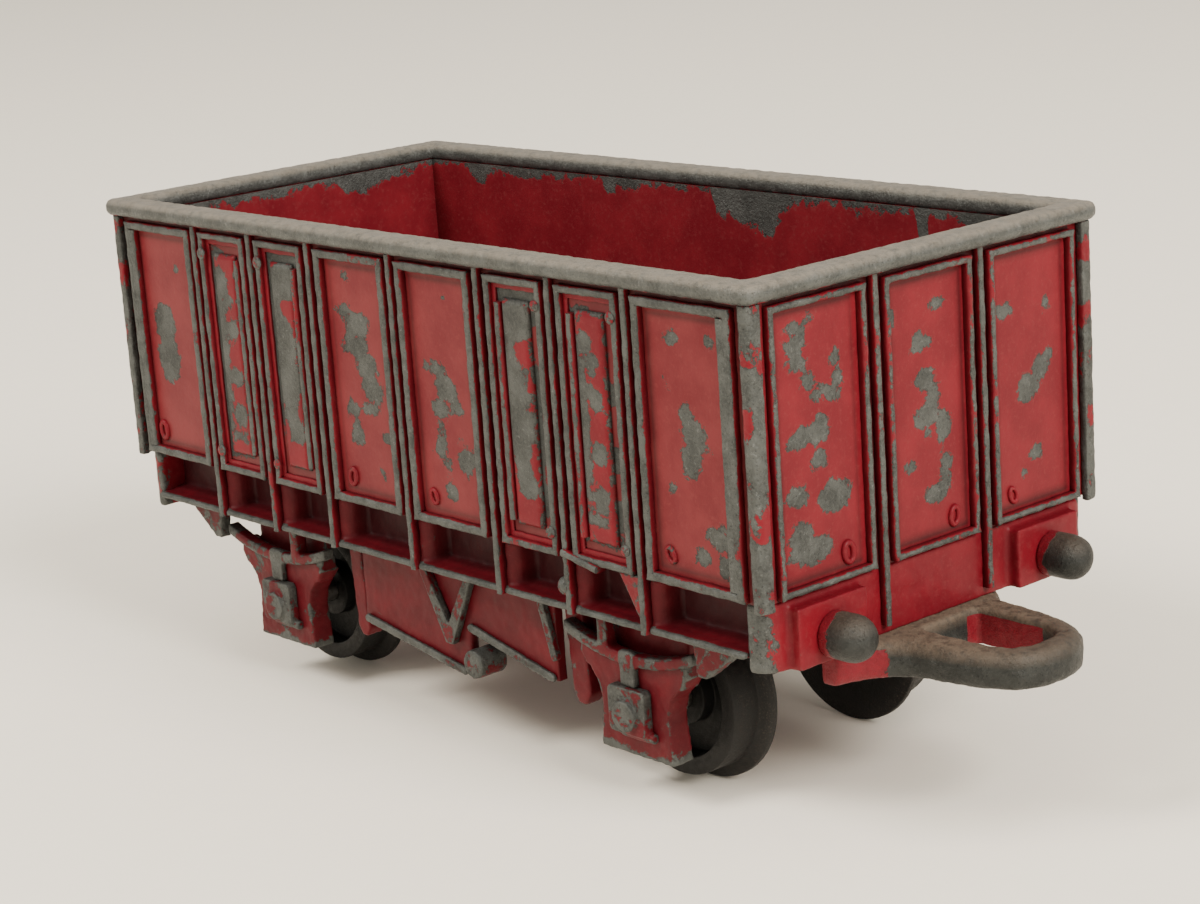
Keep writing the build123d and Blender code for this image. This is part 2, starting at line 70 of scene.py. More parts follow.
wallLow, wallHigh = boxMm("side_wall_right")
body = {
    "halfLength": wallHigh.x,
    "halfWidth": -wallLow.y,
    "wall": wallHigh.y - wallLow.y,
    "bottom": wallLow.z,
    "top": wallHigh.z,
    "proud": wallLow.y - boxMm("panel_frames_right")[0].y,
}

# turns work laid flat (x along the wall, y up, z outwards) onto each face of the tub
facing = {
    "right": Matrix(((1, 0, 0, 0), (0, 0, -1, -body["halfWidth"]), (0, 1, 0, 0), (0, 0, 0, 1))),
    "left": Matrix(((-1, 0, 0, 0), (0, 0, 1, body["halfWidth"]), (0, 1, 0, 0), (0, 0, 0, 1))),
    "front": Matrix(((0, 0, 1, body["halfLength"]), (1, 0, 0, 0), (0, 1, 0, 0), (0, 0, 0, 1))),
    "rear": Matrix(((0, 0, -1, -body["halfLength"]), (-1, 0, 0, 0), (0, 1, 0, 0), (0, 0, 0, 1))),
}


def newObject(label, mesh):
    thing = bpy.data.objects.new(label, mesh)
    collection.objects.link(thing)
    return thing


def dropObject(thing):
    mesh = thing.data
    bpy.data.objects.remove(thing)
    if mesh and mesh.users == 0:
        bpy.data.meshes.remove(mesh)


def flatMesh(label, points, edges=(), faces=()):
    mesh = bpy.data.meshes.new(label)
    mesh.from_pydata([tuple(p) for p in points], list(edges), list(faces))
    mesh.update()
    return mesh


def evaluated(thing):
    # the object's mesh with its modifiers worked out, as a plain mesh
    graph = bpy.context.evaluated_depsgraph_get()
    return bpy.data.meshes.new_from_object(thing.evaluated_get(graph))


def reworked(mesh, *steps):
    # the mesh after a run of modifiers, each given as its kind and its settings
    thing = newObject("work", mesh)
    for kind, settings in steps:
        modifier = thing.modifiers.new(kind.lower(), kind)
        for name, value in settings.items():
            setattr(modifier, name, value)
    done = evaluated(thing)
    thing.modifiers.clear()
    dropObject(thing)
    return done


def mendFaces(mesh, joinWithin=0.0):
    # loose triangles joined up, and every face turned outwards
    work = bmesh.new()
    work.from_mesh(mesh)
    if joinWithin:
        bmesh.ops.remove_doubles(work, verts=work.verts, dist=joinWithin)
    bmesh.ops.recalc_face_normals(work, faces=work.faces)
    work.to_mesh(mesh)
    work.free()


def points(mesh):
    co = np.empty(len(mesh.vertices) * 3)
    mesh.vertices.foreach_get("co", co)
    return co.reshape(-1, 3)


def setPoints(mesh, co):
    mesh.vertices.foreach_set("co", np.asarray(co, float).ravel())
    mesh.update()


def store(mesh, name, values):
    # one number for each point, read by the materials
    layer = mesh.attributes.get(name) or mesh.attributes.new(name, "FLOAT", "POINT")
    layer.data.foreach_set("value", np.asarray(values, np.float32))


def joinMeshes(label, meshes):
    # one mesh from several, keeping the stored numbers
    things = [newObject("part", m) for m in meshes]
    with bpy.context.temp_override(active_object=things[0], selected_editable_objects=things,
                                   selected_objects=things, object=things[0]):
        bpy.ops.object.join()
    mesh = things[0].data
    bpy.data.objects.remove(things[0])
    mesh.name = label
    return mesh


def curvature(mesh, rounds=2):
    # how far each point stands out from its neighbours, along its normal, over the edge length
    co = points(mesh)
    edges = np.empty(len(mesh.edges) * 2, np.int64)
    mesh.edges.foreach_get("vertices", edges)
    a, b = edges.reshape(-1, 2).T
    count = np.zeros(len(co))
    np.add.at(count, a, 1)
    np.add.at(count, b, 1)
    count = np.maximum(count, 1)
    total = np.zeros_like(co)
    np.add.at(total, a, co[b])
    np.add.at(total, b, co[a])
    normal = np.empty(len(co) * 3)
    mesh.vertices.foreach_get("normal", normal)
    normal = normal.reshape(-1, 3)
    spacing = np.linalg.norm(co[a] - co[b], axis=1).mean()
    out = ((co - total / count[:, None]) * normal).sum(1) / spacing
    for _ in range(rounds):
        near = np.zeros(len(co))
        np.add.at(near, a, out[b])
        np.add.at(near, b, out[a])
        out = 0.5 * out + 0.5 * near / count
    return out


def ramp(distance, start, gain, most):
    # nothing as far as the start, then growing at the gain to the most
    return np.clip((distance - start) * gain, 0, most)


def smoothNoise(co, size, seed):
    # slow, repeatable variation over a mesh, from -1 to 1
    rng = np.random.default_rng(seed)
    total = np.zeros(len(co))
    for _ in range(6):
        wave = rng.normal(size=3)
        wave /= np.linalg.norm(wave)
        length = size * rng.uniform(0.6, 1.6)
        total += np.sin(2 * math.pi * (co @ wave) / length + rng.uniform(0, 2 * math.pi))
    return total / 3.5


# Geometry Nodes

def startTree(label, sockets):
    tree = bpy.data.node_groups.new(label, "GeometryNodeTree")
    tree.interface.new_socket("Geometry", in_out="INPUT", socket_type="NodeSocketGeometry")
    for name, kind in sockets:
        tree.interface.new_socket(name, in_out="INPUT", socket_type=kind)
    tree.interface.new_socket("Geometry", in_out="OUTPUT", socket_type="NodeSocketGeometry")
    return tree, tree.nodes.new("NodeGroupInput"), tree.nodes.new("NodeGroupOutput")


def link(tree, source, target):
    tree.links.new(source, target)


def addNode(tree, kind, inputs=None, **settings):
    # a node with its settings made, then each input set to a value or joined to another node
    node = tree.nodes.new(kind)
    for name, value in settings.items():
        setattr(node, name, value)
    for slot, value in (inputs or {}).items():
        if isinstance(value, bpy.types.NodeSocket):
            link(tree, value, node.inputs[slot])
        else:
            node.inputs[slot].default_value = value
    return node


def sums(tree, operation, first, second, clamp=False):
    # one Math node: each side is a socket or a number
    return addNode(tree, "ShaderNodeMath", {0: first, 1: second}, operation=operation,
                   use_clamp=clamp).outputs[0]


def times(tree, first, second, clamp=False):
    return sums(tree, "MULTIPLY", first, second, clamp)


def plus(tree, first, second):
    return sums(tree, "ADD", first, second)


def minus(tree, first, second):
    return sums(tree, "SUBTRACT", first, second)


def roughCast(tree, given, geometry):
    # moves the skin in and out a little, as a worn casting has it
    noise = addNode(tree, "ShaderNodeTexNoise", {
        "Scale": 2.2, "Detail": 2, "W": given.outputs["Seed"]}, noise_dimensions="4D")
    size = times(tree, minus(tree, noise.outputs["Fac"], 0.5), given.outputs["Roughness"])
    normal = addNode(tree, "GeometryNodeInputNormal")
    along = addNode(tree, "ShaderNodeVectorMath", {0: normal.outputs[0], "Scale": size},
                    operation="SCALE")
    return addNode(tree, "GeometryNodeSetPosition", {
        "Geometry": geometry, "Offset": along.outputs[0]}).outputs[0]


def endTree(tree, given, result, geometry):
    real = addNode(tree, "GeometryNodeRealizeInstances", {0: geometry})
    paint = addNode(tree, "GeometryNodeSetMaterial", {
        "Geometry": real.outputs[0], "Material": given.outputs["Finish"]})
    link(tree, paint.outputs[0], result.inputs[0])


def beadTree():
    # sweeps a round-edged bar along every edge path of the flat drawing that it is given
    tree, given, result = startTree("castBeads", [
        ("Bar width", "NodeSocketFloat"), ("Bar height", "NodeSocketFloat"),
        ("Edge round", "NodeSocketFloat"), ("Roughness", "NodeSocketFloat"),
        ("Seed", "NodeSocketFloat"), ("Finish", "NodeSocketMaterial")])
    asked = given.outputs
    path = addNode(tree, "GeometryNodeMeshToCurve", {0: asked["Geometry"]})
    upright = addNode(tree, "GeometryNodeSetCurveNormal", {0: path.outputs[0]}, mode="Z_UP")
    outline = addNode(tree, "GeometryNodeCurvePrimitiveQuadrilateral", {
        "Width": asked["Bar width"], "Height": times(tree, asked["Bar height"], 2)})
    soft = addNode(tree, "GeometryNodeFilletCurve", {
        "Curve": outline.outputs[0], "Count": 3, "Radius": asked["Edge round"],
        "Limit Radius": True}, mode="POLY")
    mitre = addNode(tree, "GeometryNodeInputNamedAttribute", {"Name": "mitre"}, data_type="FLOAT")
    sweep = addNode(tree, "GeometryNodeCurveToMesh", {
        "Curve": upright.outputs[0], "Profile Curve": soft.outputs[0],
        "Scale": mitre.outputs[0], "Fill Caps": True})
    endTree(tree, given, result, roughCast(tree, given, sweep.outputs[0]))
    return tree


def fittingTree():
    # sets one small fitting on each point of the drawing, each a little different
    tree, given, result = startTree("castFittings", [
        ("Fitting", "NodeSocketObject"), ("Smallest", "NodeSocketFloat"),
        ("Largest", "NodeSocketFloat"), ("Turn", "NodeSocketFloat"), ("Roughness", "NodeSocketFloat"),
        ("Seed", "NodeSocketFloat"), ("Finish", "NodeSocketMaterial")])
    asked = given.outputs
    info = addNode(tree, "GeometryNodeObjectInfo", {"Object": asked["Fitting"], "As Instance": True})
    size = addNode(tree, "FunctionNodeRandomValue", {
        2: asked["Smallest"], 3: asked["Largest"], "Seed": 7})
    turn = addNode(tree, "FunctionNodeRandomValue", {
        2: times(tree, asked["Turn"], -1), 3: asked["Turn"], "Seed": 11})
    about = addNode(tree, "ShaderNodeCombineXYZ", {"Z": turn.outputs[1]})
    place = addNode(tree, "GeometryNodeInstanceOnPoints", {
        "Points": asked["Geometry"], "Instance": info.outputs["Geometry"],
        "Rotation": about.outputs[0], "Scale": size.outputs[1]})
    real = addNode(tree, "GeometryNodeRealizeInstances", {0: place.outputs[0]})
    endTree(tree, given, result, roughCast(tree, given, real.outputs[0]))
    return tree


def skinTree():
    # the uneven skin of a casting, on any closed mesh
    tree, given, result = startTree("castSkin", [
        ("Roughness", "NodeSocketFloat"), ("Seed", "NodeSocketFloat"),
        ("Finish", "NodeSocketMaterial")])
    endTree(tree, given, result, roughCast(tree, given, given.outputs["Geometry"]))
    return tree


def runTree(tree, mesh, values):
    # works a tree out on a mesh and hands back the plain result
    thing = newObject("drawing", mesh)
    modifier = thing.modifiers.new("tree", "NODES")
    modifier.node_group = tree
    sockets = {item.name: item.identifier for item in tree.interface.items_tree
               if item.in_out == "INPUT"}
    for name, value in values.items():
        modifier[sockets[name]] = value
    done = evaluated(thing)
    thing.modifiers.remove(modifier)
    dropObject(thing)
    return done


# materials

def blendColour(tree, share, first, second):
    # a mix of two colours, each a socket or three numbers, by a socket or a number
    sides = {slot: (*value, 1) if isinstance(value, tuple) else value
             for slot, value in ((6, first), (7, second))}
    return addNode(tree, "ShaderNodeMix", {0: share, **sides}, data_type="RGBA").outputs[2]


def spread(tree, value, low, high, outLow=0.0, outHigh=1.0):
    # a smooth step from one level to another
    return addNode(tree, "ShaderNodeMapRange", {
        "Value": value, "From Min": low, "From Max": high, "To Min": outLow, "To Max": outHigh},
        interpolation_type="SMOOTHSTEP").outputs["Result"]


def grainOf(tree, where, scale, detail, rough=0.55, distortion=0.0):
    return addNode(tree, "ShaderNodeTexNoise", {
        "Vector": where, "Scale": scale, "Detail": detail, "Roughness": rough,
        "Distortion": distortion}).outputs["Fac"]


def attributeOf(tree, name):
    return addNode(tree, "ShaderNodeAttribute", attribute_name=name).outputs["Fac"]


def addBump(tree, shader, height, strength, distance):
    bump = addNode(tree, "ShaderNodeBump", {
        "Strength": strength, "Distance": distance, "Height": height})
    link(tree, bump.outputs[0], shader.inputs["Normal"])


def startMaterial(label):
    # a new material, its tree and shader, and places on the object in millimetres
    material = bpy.data.materials.new(label)
    material.use_nodes = True
    tree = material.node_tree
    where = addNode(tree, "ShaderNodeTexCoord")
    inMm = addNode(tree, "ShaderNodeMapping", {
        "Vector": where.outputs["Object"], "Scale": (1 / mm, 1 / mm, 1 / mm)})
    return material, tree, tree.nodes["Principled BSDF"], inMm.outputs[0]


zinc = {
    "dark": (0.018, 0.019, 0.018),
    "middle": (0.054, 0.057, 0.054),
    "light": (0.097, 0.102, 0.097),
    "scuff": (0.25, 0.255, 0.245),
    "dust": (0.30, 0.255, 0.20),
    "earth": (0.13, 0.095, 0.068),
    "pitDepth": 0.035 * mm,
}
enamel = {
    "red": (0.150, 0.0058, 0.0125),
    "deep": (0.113, 0.0043, 0.0098),
    "faded": (0.165, 0.026, 0.028),
    "dust": (0.17, 0.072, 0.064),
    # the dark used both for dirt and for painted shade
    "grime": (0.012, 0.0020, 0.0030),
    "filmDepth": 0.03 * mm,
}


def zincColour(tree, where, shade=1.0):
    # mottled grey metal with dark pits and paler scuffs, and how high its skin stands
    names = ("dark", "middle", "light", "scuff")
    # shade darkens every colour at once: painted shade for a copy of the metal that lies out of the
    # light
    dark, middle, light, scuff = (tuple(c * shade for c in zinc[name]) for name in names)
    cloud = grainOf(tree, where, 1.1, 5, 0.6)
    fine = grainOf(tree, where, 9, 6, 0.65)
    pit = grainOf(tree, where, 14, 3, 0.5)
    colour = blendColour(tree, spread(tree, cloud, 0.35, 0.68), middle, light)
    colour = blendColour(tree, spread(tree, fine, 0.42, 0.65, 0, 0.5), colour, light)
    scuffs = spread(tree, grainOf(tree, where, 7, 4, 0.75), 0.56, 0.72, 0, 0.6)
    colour = blendColour(tree, scuffs, colour, scuff)
    pits = spread(tree, pit, 0.58, 0.7, 0, 0.6)
    colour = blendColour(tree, pits, colour, dark)
    height = plus(tree, times(tree, fine, 1.3), times(tree, pits, -0.6))
    height = plus(tree, height, times(tree, scuffs, 0.5))
    return colour, height


def enamelMaterial(label, gloss=0.38, fade=0.5, darkening=0.0):
    # red paint over zinc: the stored number "bare" says where it has gone
    material, tree, shader, where = startMaterial(label)
    bare = attributeOf(tree, "bare")
    hollowShade = attributeOf(tree, "hollowShade")
    ragged = minus(tree, grainOf(tree, where, 1.9, 8, 0.66, 0.5), 0.5)
    speck = minus(tree, grainOf(tree, where, 7.5, 4, 0.6), 0.5)
    level = plus(tree, bare, times(tree, ragged, 1.35))
    level = plus(tree, level, times(tree, speck, 0.35))
    gone = spread(tree, level, 0.485, 0.515)
    # painted highlight on the paint along each chip's edge, and painted shadow on the bare metal just
    # beyond it
    paintEdgeHighlight = times(tree, spread(tree, level, 0.38, 0.49), minus(tree, 1, gone))
    metalEdgeShadow = times(tree, spread(tree, level, 0.60, 0.51), gone)

    cloud = grainOf(tree, where, 0.55, 5, 0.6)
    streak = grainOf(tree, where, 5, 5, 0.7)
    paint = blendColour(tree, spread(tree, cloud, 0.35, 0.7), enamel["deep"], enamel["red"])
    paint = blendColour(tree, spread(tree, streak, 0.5, 0.75, 0, fade), paint, enamel["faded"])
    # painted highlight along the paint's edge at each chip
    paint = blendColour(tree, times(tree, paintEdgeHighlight, 0.35), paint, enamel["faded"])
    # the paint is darkened in patches: partly dirt, partly painted shade for parts that lie out of
    # the light
    if darkening:
        sootAndShade = spread(tree, grainOf(tree, where, 0.8, 5, 0.65), 0.25, 0.7, darkening * 0.6, darkening)
        paint = blendColour(tree, sootAndShade, paint, enamel["grime"])
    # painted shade: the paint is darkened in hollows and at the foot of raised work
    paint = blendColour(tree, hollowShade, paint, enamel["grime"])
    dust = grainOf(tree, where, 22, 3, 0.7)
    specks = spread(tree, dust, 0.60, 0.72, 0, 0.3)
    dusty = times(tree, attributeOf(tree, "dusty"), spread(tree, cloud, 0.3, 0.65, 0.4, 1))
    paint = blendColour(tree, sums(tree, "MAXIMUM", specks, dusty), paint, enamel["dust"])

    metal, metalHeight = zincColour(tree, where)
    # painted shadow on the metal at the paint's edge, and painted shade in hollows
    metal = blendColour(tree, times(tree, metalEdgeShadow, 0.6), metal, zinc["dark"])
    metal = blendColour(tree, times(tree, hollowShade, 0.7), metal, zinc["dark"])
    link(tree, blendColour(tree, gone, paint, metal), shader.inputs["Base Color"])

    rough = plus(tree, times(tree, streak, 0.25), gloss - 0.1)
    rough = plus(tree, rough, times(tree, gone, 0.10))
    link(tree, rough, shader.inputs["Roughness"])
    link(tree, times(tree, gone, 0.7), shader.inputs["Metallic"])
    shader.inputs["Specular IOR Level"].default_value = 0.14

    film = minus(tree, 1, gone)
    waves = times(tree, grainOf(tree, where, 4.2, 4, 0.6), 0.35)
    metalPart = times(tree, times(tree, metalHeight, gone), 1.3)
    height = plus(tree, plus(tree, film, waves), metalPart)
    addBump(tree, shader, height, 0.9, enamel["filmDepth"])
    return material


def bareMaterial(label, dustColour, shade=1.0):
    # zinc with a little dust on top and red paint left low down and in hollows
    material, tree, shader, where = startMaterial(label)
    metal, metalHeight = zincColour(tree, where, shade)
    hollowShade = attributeOf(tree, "hollowShade")
    red = attributeOf(tree, "leftRed")
    dusty = attributeOf(tree, "dusty")
    ragged = minus(tree, grainOf(tree, where, 1.6, 7, 0.65, 0.5), 0.5)
    cover = spread(tree, plus(tree, red, times(tree, ragged, 0.9)), 0.47, 0.53)
    dustGrain = grainOf(tree, where, 3, 6, 0.7)
    dust = times(tree, dusty, spread(tree, dustGrain, 0.22, 0.58, 0.25, 1), True)
    colour = blendColour(tree, dust, metal, dustColour)
    # painted shade: the metal is darkened in hollows and under the rim's top
    colour = blendColour(tree, times(tree, hollowShade, 0.75), colour, zinc["dark"])
    paint = blendColour(tree, spread(tree, dustGrain, 0.3, 0.7), enamel["deep"], enamel["red"])
    link(tree, blendColour(tree, cover, colour, paint), shader.inputs["Base Color"])
    rough = plus(tree, times(tree, dust, 0.3), times(tree, dustGrain, 0.2))
    link(tree, plus(tree, rough, 0.33), shader.inputs["Roughness"])
    bright = minus(tree, 1, sums(tree, "MAXIMUM", cover, dust))
    link(tree, times(tree, bright, 0.6), shader.inputs["Metallic"])
    shader.inputs["Specular IOR Level"].default_value = 0.2
    height = plus(tree, metalHeight, times(tree, cover, 0.8))
    addBump(tree, shader, height, 0.9, zinc["pitDepth"])
    return material


wheelBlack = {"black": (0.006, 0.006, 0.006), "dust": (0.07, 0.056, 0.044),
              "worn": (0.014, 0.0135, 0.013), "pitDepth": 0.03 * mm}


def wheelMaterial():
    # blackened metal with dust on its rims and a rubbed tread
    material, tree, shader, where = startMaterial("blackenedWheel")
    edge = attributeOf(tree, "bare")
    grain = grainOf(tree, where, 4, 6, 0.7)
    fine = grainOf(tree, where, 18, 4, 0.6)
    rubbed = plus(tree, edge, times(tree, minus(tree, grain, 0.5), 1.1))
    rubbed = spread(tree, rubbed, 0.45, 0.95)
    colour = blendColour(tree, rubbed, wheelBlack["black"], wheelBlack["worn"])
    dusty = spread(tree, fine, 0.52, 0.70, 0, 0.7)
    colour = blendColour(tree, times(tree, dusty, rubbed), colour, wheelBlack["dust"])
    link(tree, colour, shader.inputs["Base Color"])
    link(tree, spread(tree, grain, 0.3, 0.7, 0.4, 0.65), shader.inputs["Roughness"])
    shader.inputs["Specular IOR Level"].default_value = 0.2
    addBump(tree, shader, fine, 0.7, wheelBlack["pitDepth"])
    return material


drawnSteel = {"clean": (0.28, 0.27, 0.26), "oiled": (0.09, 0.075, 0.06), "ringDepth": 0.01 * mm}


def axleMaterial():
    # drawn steel: fine rings round it, dulled by oil and dust
    material, tree, shader, where = startMaterial("drawnSteel")
    rings = addNode(tree, "ShaderNodeTexWave", {
        "Vector": where, "Scale": 5, "Distortion": 3, "Detail": 3},
        wave_type="BANDS", bands_direction="Y")
    oil = grainOf(tree, where, 1.6, 5, 0.6)
    colour = blendColour(tree, spread(tree, oil, 0.4, 0.7), drawnSteel["clean"],
                         drawnSteel["oiled"])
    link(tree, colour, shader.inputs["Base Color"])
    link(tree, spread(tree, rings.outputs["Fac"], 0, 1, 0.30, 0.5), shader.inputs["Roughness"])
    shader.inputs["Metallic"].default_value = 1
    addBump(tree, shader, rings.outputs["Fac"], 0.5, drawnSteel["ringDepth"])
    return material


print("stage: materials")
finish = {
    "outside": enamelMaterial("wornEnamelOutside", 0.40, 0.55),
    # the underframe and tub floor paint is darkened in patches, partly dirt and partly painted shade
    "inside": enamelMaterial("wornEnamelUnderframe", 0.45, 0.35, 0.55),
    "zinc": bareMaterial("bareZincRim", zinc["dust"]),
    # the couplings' zinc is a darker copy at 0.39: painted shade for their place low under the
    # headstock, with some dirt
    "lowZinc": bareMaterial("bareZincCouplings", zinc["earth"], 0.39),
    "wheel": wheelMaterial(),
    "axle": axleMaterial(),
}
trees = {"bead": beadTree(), "fitting": fittingTree(), "skin": skinTree()}


def piece(label, mesh, kind, rideOn, replaced, smooth=True):
    # a finished piece in metres, at the origin, riding on its body in place of its CAD nodes
    setPoints(mesh, np.clip(points(mesh) * mm, *cadBox))  # nothing goes past the CAD model's box
    mesh.materials.clear()
    mesh.materials.append(finish[kind])
    for name in ("bare", "hollowShade", "leftRed", "dusty"):
        if name not in mesh.attributes:
            store(mesh, name, np.zeros(len(mesh.vertices)))
    mesh.polygons.foreach_set("use_smooth", [smooth] * len(mesh.polygons))
    mesh.update()
    thing = newObject(label, mesh)
    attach(thing, rideOn)
    if replaced:
        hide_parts(*replaced)
    return thing


def cadCopy(node):
    # a CAD piece's mesh in millimetres, with its loose triangles joined up
    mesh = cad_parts[node].data.copy()
    mesh.transform(Matrix.Scale(1 / mm, 4))
    mendFaces(mesh, 0.002)
    for layer in list(mesh.uv_layers):
        mesh.uv_layers.remove(layer)
    return mesh


def castFrom(meshes, voxel, softness, roughness, seed, kind="inside"):
    # closed meshes made one soft-edged casting: remeshed, rounded, then given an uneven skin
    mesh = joinMeshes("casting", meshes) if len(meshes) > 1 else meshes[0]
    done = reworked(mesh, ("REMESH", {"mode": "VOXEL", "voxel_size": voxel}),
                    ("SMOOTH", {"factor": 0.5, "iterations": softness}))
    return runTree(trees["skin"], done, {"Roughness": roughness, "Seed": float(seed),
                                         "Finish": finish[kind]})


def markWearAndShade(mesh, base=0.0, edgeGain=2.2, hollowGain=2.0, extra=0.0, rounds=3, shade=None):
    # paint goes first from what stands out; what lies back is darkened, as painted shade
    bend = curvature(mesh, rounds)
    store(mesh, "bare", base + edgeGain * np.clip(bend, 0, 1) + extra)
    hollowShade = np.clip(-hollowGain * bend, 0, 0.8)
    store(mesh, "hollowShade", hollowShade if shade is None else np.maximum(hollowShade, shade))


# the tub's walls

# Chips in each panel: (across, up, half width, half height), all as shares of the panel, where
# across runs from the panel's left as seen from outside. A minus half width keeps paint instead.
chips = {
    "cornerTall": [
        (0.33, 0.91, 0.09, 0.03), (0.78, 0.91, 0.07, 0.025), (0.2, 0.74, 0.03, 0.02),
        (0.45, 0.62, 0.09, 0.035), (0.53, 0.555, 0.17, 0.06), (0.5, 0.46, 0.15, 0.06),
        (0.68, 0.49, 0.07, 0.016), (0.47, 0.415, 0.11, 0.03), (0.24, 0.33, 0.05, 0.03),
        (0.79, 0.165, 0.16, 0.05), (0.56, 0.085, 0.1, 0.045), (0.84, 0.055, 0.08, 0.05)],
    "middleRight": [
        (0.2, 0.62, 0.05, 0.022), (0.42, 0.61, 0.15, 0.035), (0.5, 0.53, 0.2, 0.065),
        (0.42, 0.45, 0.17, 0.05), (0.7, 0.46, 0.1, 0.035), (0.38, 0.37, 0.06, 0.035),
        (0.34, 0.28, 0.11, 0.05), (0.45, 0.2, 0.09, 0.06), (0.48, 0.1, 0.1, 0.04),
        (0.8, 0.25, 0.13, 0.075), (0.6, 0.92, 0.03, 0.01)],
    "middleLeft": [
        (0.33, 0.94, 0.06, 0.022), (0.26, 0.8, 0.14, 0.026), (0.48, 0.74, 0.26, 0.055),
        (0.4, 0.65, 0.22, 0.05), (0.6, 0.57, 0.2, 0.06), (0.68, 0.47, 0.2, 0.06),
        (0.62, 0.38, 0.16, 0.03), (0.28, 0.37, 0.11, 0.05), (0.32, 0.26, 0.13, 0.055),
        (0.87, 0.27, 0.12, 0.022), (0.75, 0.1, 0.05, 0.02)],
    "farTall": [(0.38, 0.58, 0.2, 0.1), (0.4, 0.42, 0.22, 0.12), (0.7, 0.85, 0.05, 0.02)],
    "doorGrey": [
        (0.5, 0.9, 0.6, 0.12), (0.3, 0.6, 0.4, 0.4), (0.5, 0.45, 0.5, 0.3), (0.6, 0.2, 0.4, 0.1),
        (0.72, 0.79, -0.34, 0.05), (0.62, 0.53, -0.3, 0.028), (0.95, 0.3, -0.22, 0.08),
        (0.6, 0.06, -0.6, 0.07)],
    "doorPatchy": [
        (0.12, 0.5, 0.26, 0.45), (0.32, 0.87, 0.3, 0.06), (0.5, 0.78, 0.25, 0.05),
        (0.62, 0.63, 0.3, 0.06), (0.62, 0.4, 0.3, 0.06), (0.6, 0.2, 0.32, 0.07),
        (0.5, 0.1, 0.4, 0.03), (0.75, 0.5, -0.3, 0.05), (0.75, 0.3, -0.2, 0.04)],
    "endNear": [
        (0.28, 0.93, 0.12, 0.025), (0.27, 0.87, 0.12, 0.04), (0.28, 0.8, 0.13, 0.035),
        (0.38, 0.73, 0.11, 0.03), (0.52, 0.675, 0.13, 0.03), (0.68, 0.66, 0.11, 0.028),
        (0.77, 0.71, 0.07, 0.03), (0.75, 0.79, 0.05, 0.03), (0.26, 0.53, 0.15, 0.038),
        (0.52, 0.54, 0.13, 0.06), (0.5, 0.44, 0.11, 0.045), (0.21, 0.32, 0.14, 0.038),
        (0.68, 0.28, 0.19, 0.062), (0.24, 0.165, 0.14, 0.05), (0.32, 0.1, 0.24, 0.055),
        (0.5, 0.105, 0.14, 0.04), (0.47, 0.965, 0.04, 0.015)],
    "endMiddle": [
        (0.64, 0.89, 0.11, 0.02), (0.41, 0.755, 0.13, 0.036), (0.48, 0.61, 0.15, 0.037),
        (0.57, 0.54, 0.09, 0.055), (0.48, 0.475, 0.17, 0.045), (0.69, 0.42, 0.11, 0.06),
        (0.5, 0.405, 0.05, 0.02), (0.22, 0.29, 0.08, 0.02), (0.72, 0.24, 0.09, 0.065),
        (0.6, 0.165, 0.2, 0.042), (0.05, 0.87, 0.03, 0.03)],
    "endFar": [
        (0.14, 0.79, 0.12, 0.036), (0.73, 0.77, 0.05, 0.03), (0.63, 0.53, 0.13, 0.055),
        (0.46, 0.46, 0.16, 0.06), (0.76, 0.57, 0.06, 0.022), (0.56, 0.2, 0.085, 0.03),
        (0.38, 0.12, 0.04, 0.015)],
}


def islands(node):
    # the separate solids of a CAD node, as low and high corners in millimetres
    mesh = cadCopy(node)
    work = bmesh.new()
    work.from_mesh(mesh)
    seen, found = set(), []
    for start in work.verts:
        if start in seen:
            continue
        stack, group = [start], []
        seen.add(start)
        while stack:
            vert = stack.pop()
            group.append(vert.co.copy())
            for edge in vert.link_edges:
                other = edge.other_vert(vert)
                if other not in seen:
                    seen.add(other)
                    stack.append(other)
        low = Vector([min(p[i] for p in group) for i in range(3)])
        high = Vector([max(p[i] for p in group) for i in range(3)])
        found.append((low, high))
    work.free()
    bpy.data.meshes.remove(mesh)
    return found


def onWall(node, face):
    # a node's solids as (left, right, bottom, top, height) drawn flat on that face of the tub
    back = facing[face].inverted()
    boxes = []
    for low, high in islands(node):
        a, b = back @ low, back @ high
        boxes.append((min(a.x, b.x), max(a.x, b.x), min(a.y, b.y), max(a.y, b.y), max(a.z, b.z)))
    return sorted(boxes)


def griddedBox(low, high, step):
    # a closed box whose faces are all fine grids
    counts = [max(1, round((high[i] - low[i]) / step)) for i in range(3)]
    lines = [np.linspace(low[i], high[i], counts[i] + 1) for i in range(3)]
    verts, faces, where = [], [], {}

    def vertAt(i, j, k):
        key = (i, j, k)
        if key not in where:
            where[key] = len(verts)
            verts.append((lines[0][i], lines[1][j], lines[2][k]))
        return where[key]

    for axis in range(3):
        u, v = [(1, 2), (2, 0), (0, 1)][axis]
        for side in (0, counts[axis]):
            for a in range(counts[u]):
                for b in range(counts[v]):
                    corners = []
                    for da, db in ((0, 0), (1, 0), (1, 1), (0, 1)):
                        key = [0, 0, 0]
                        key[axis], key[u], key[v] = side, a + da, b + db
                        corners.append(vertAt(*key))
                    faces.append(corners if side else corners[::-1])
    return flatMesh("grid", verts, (), faces)


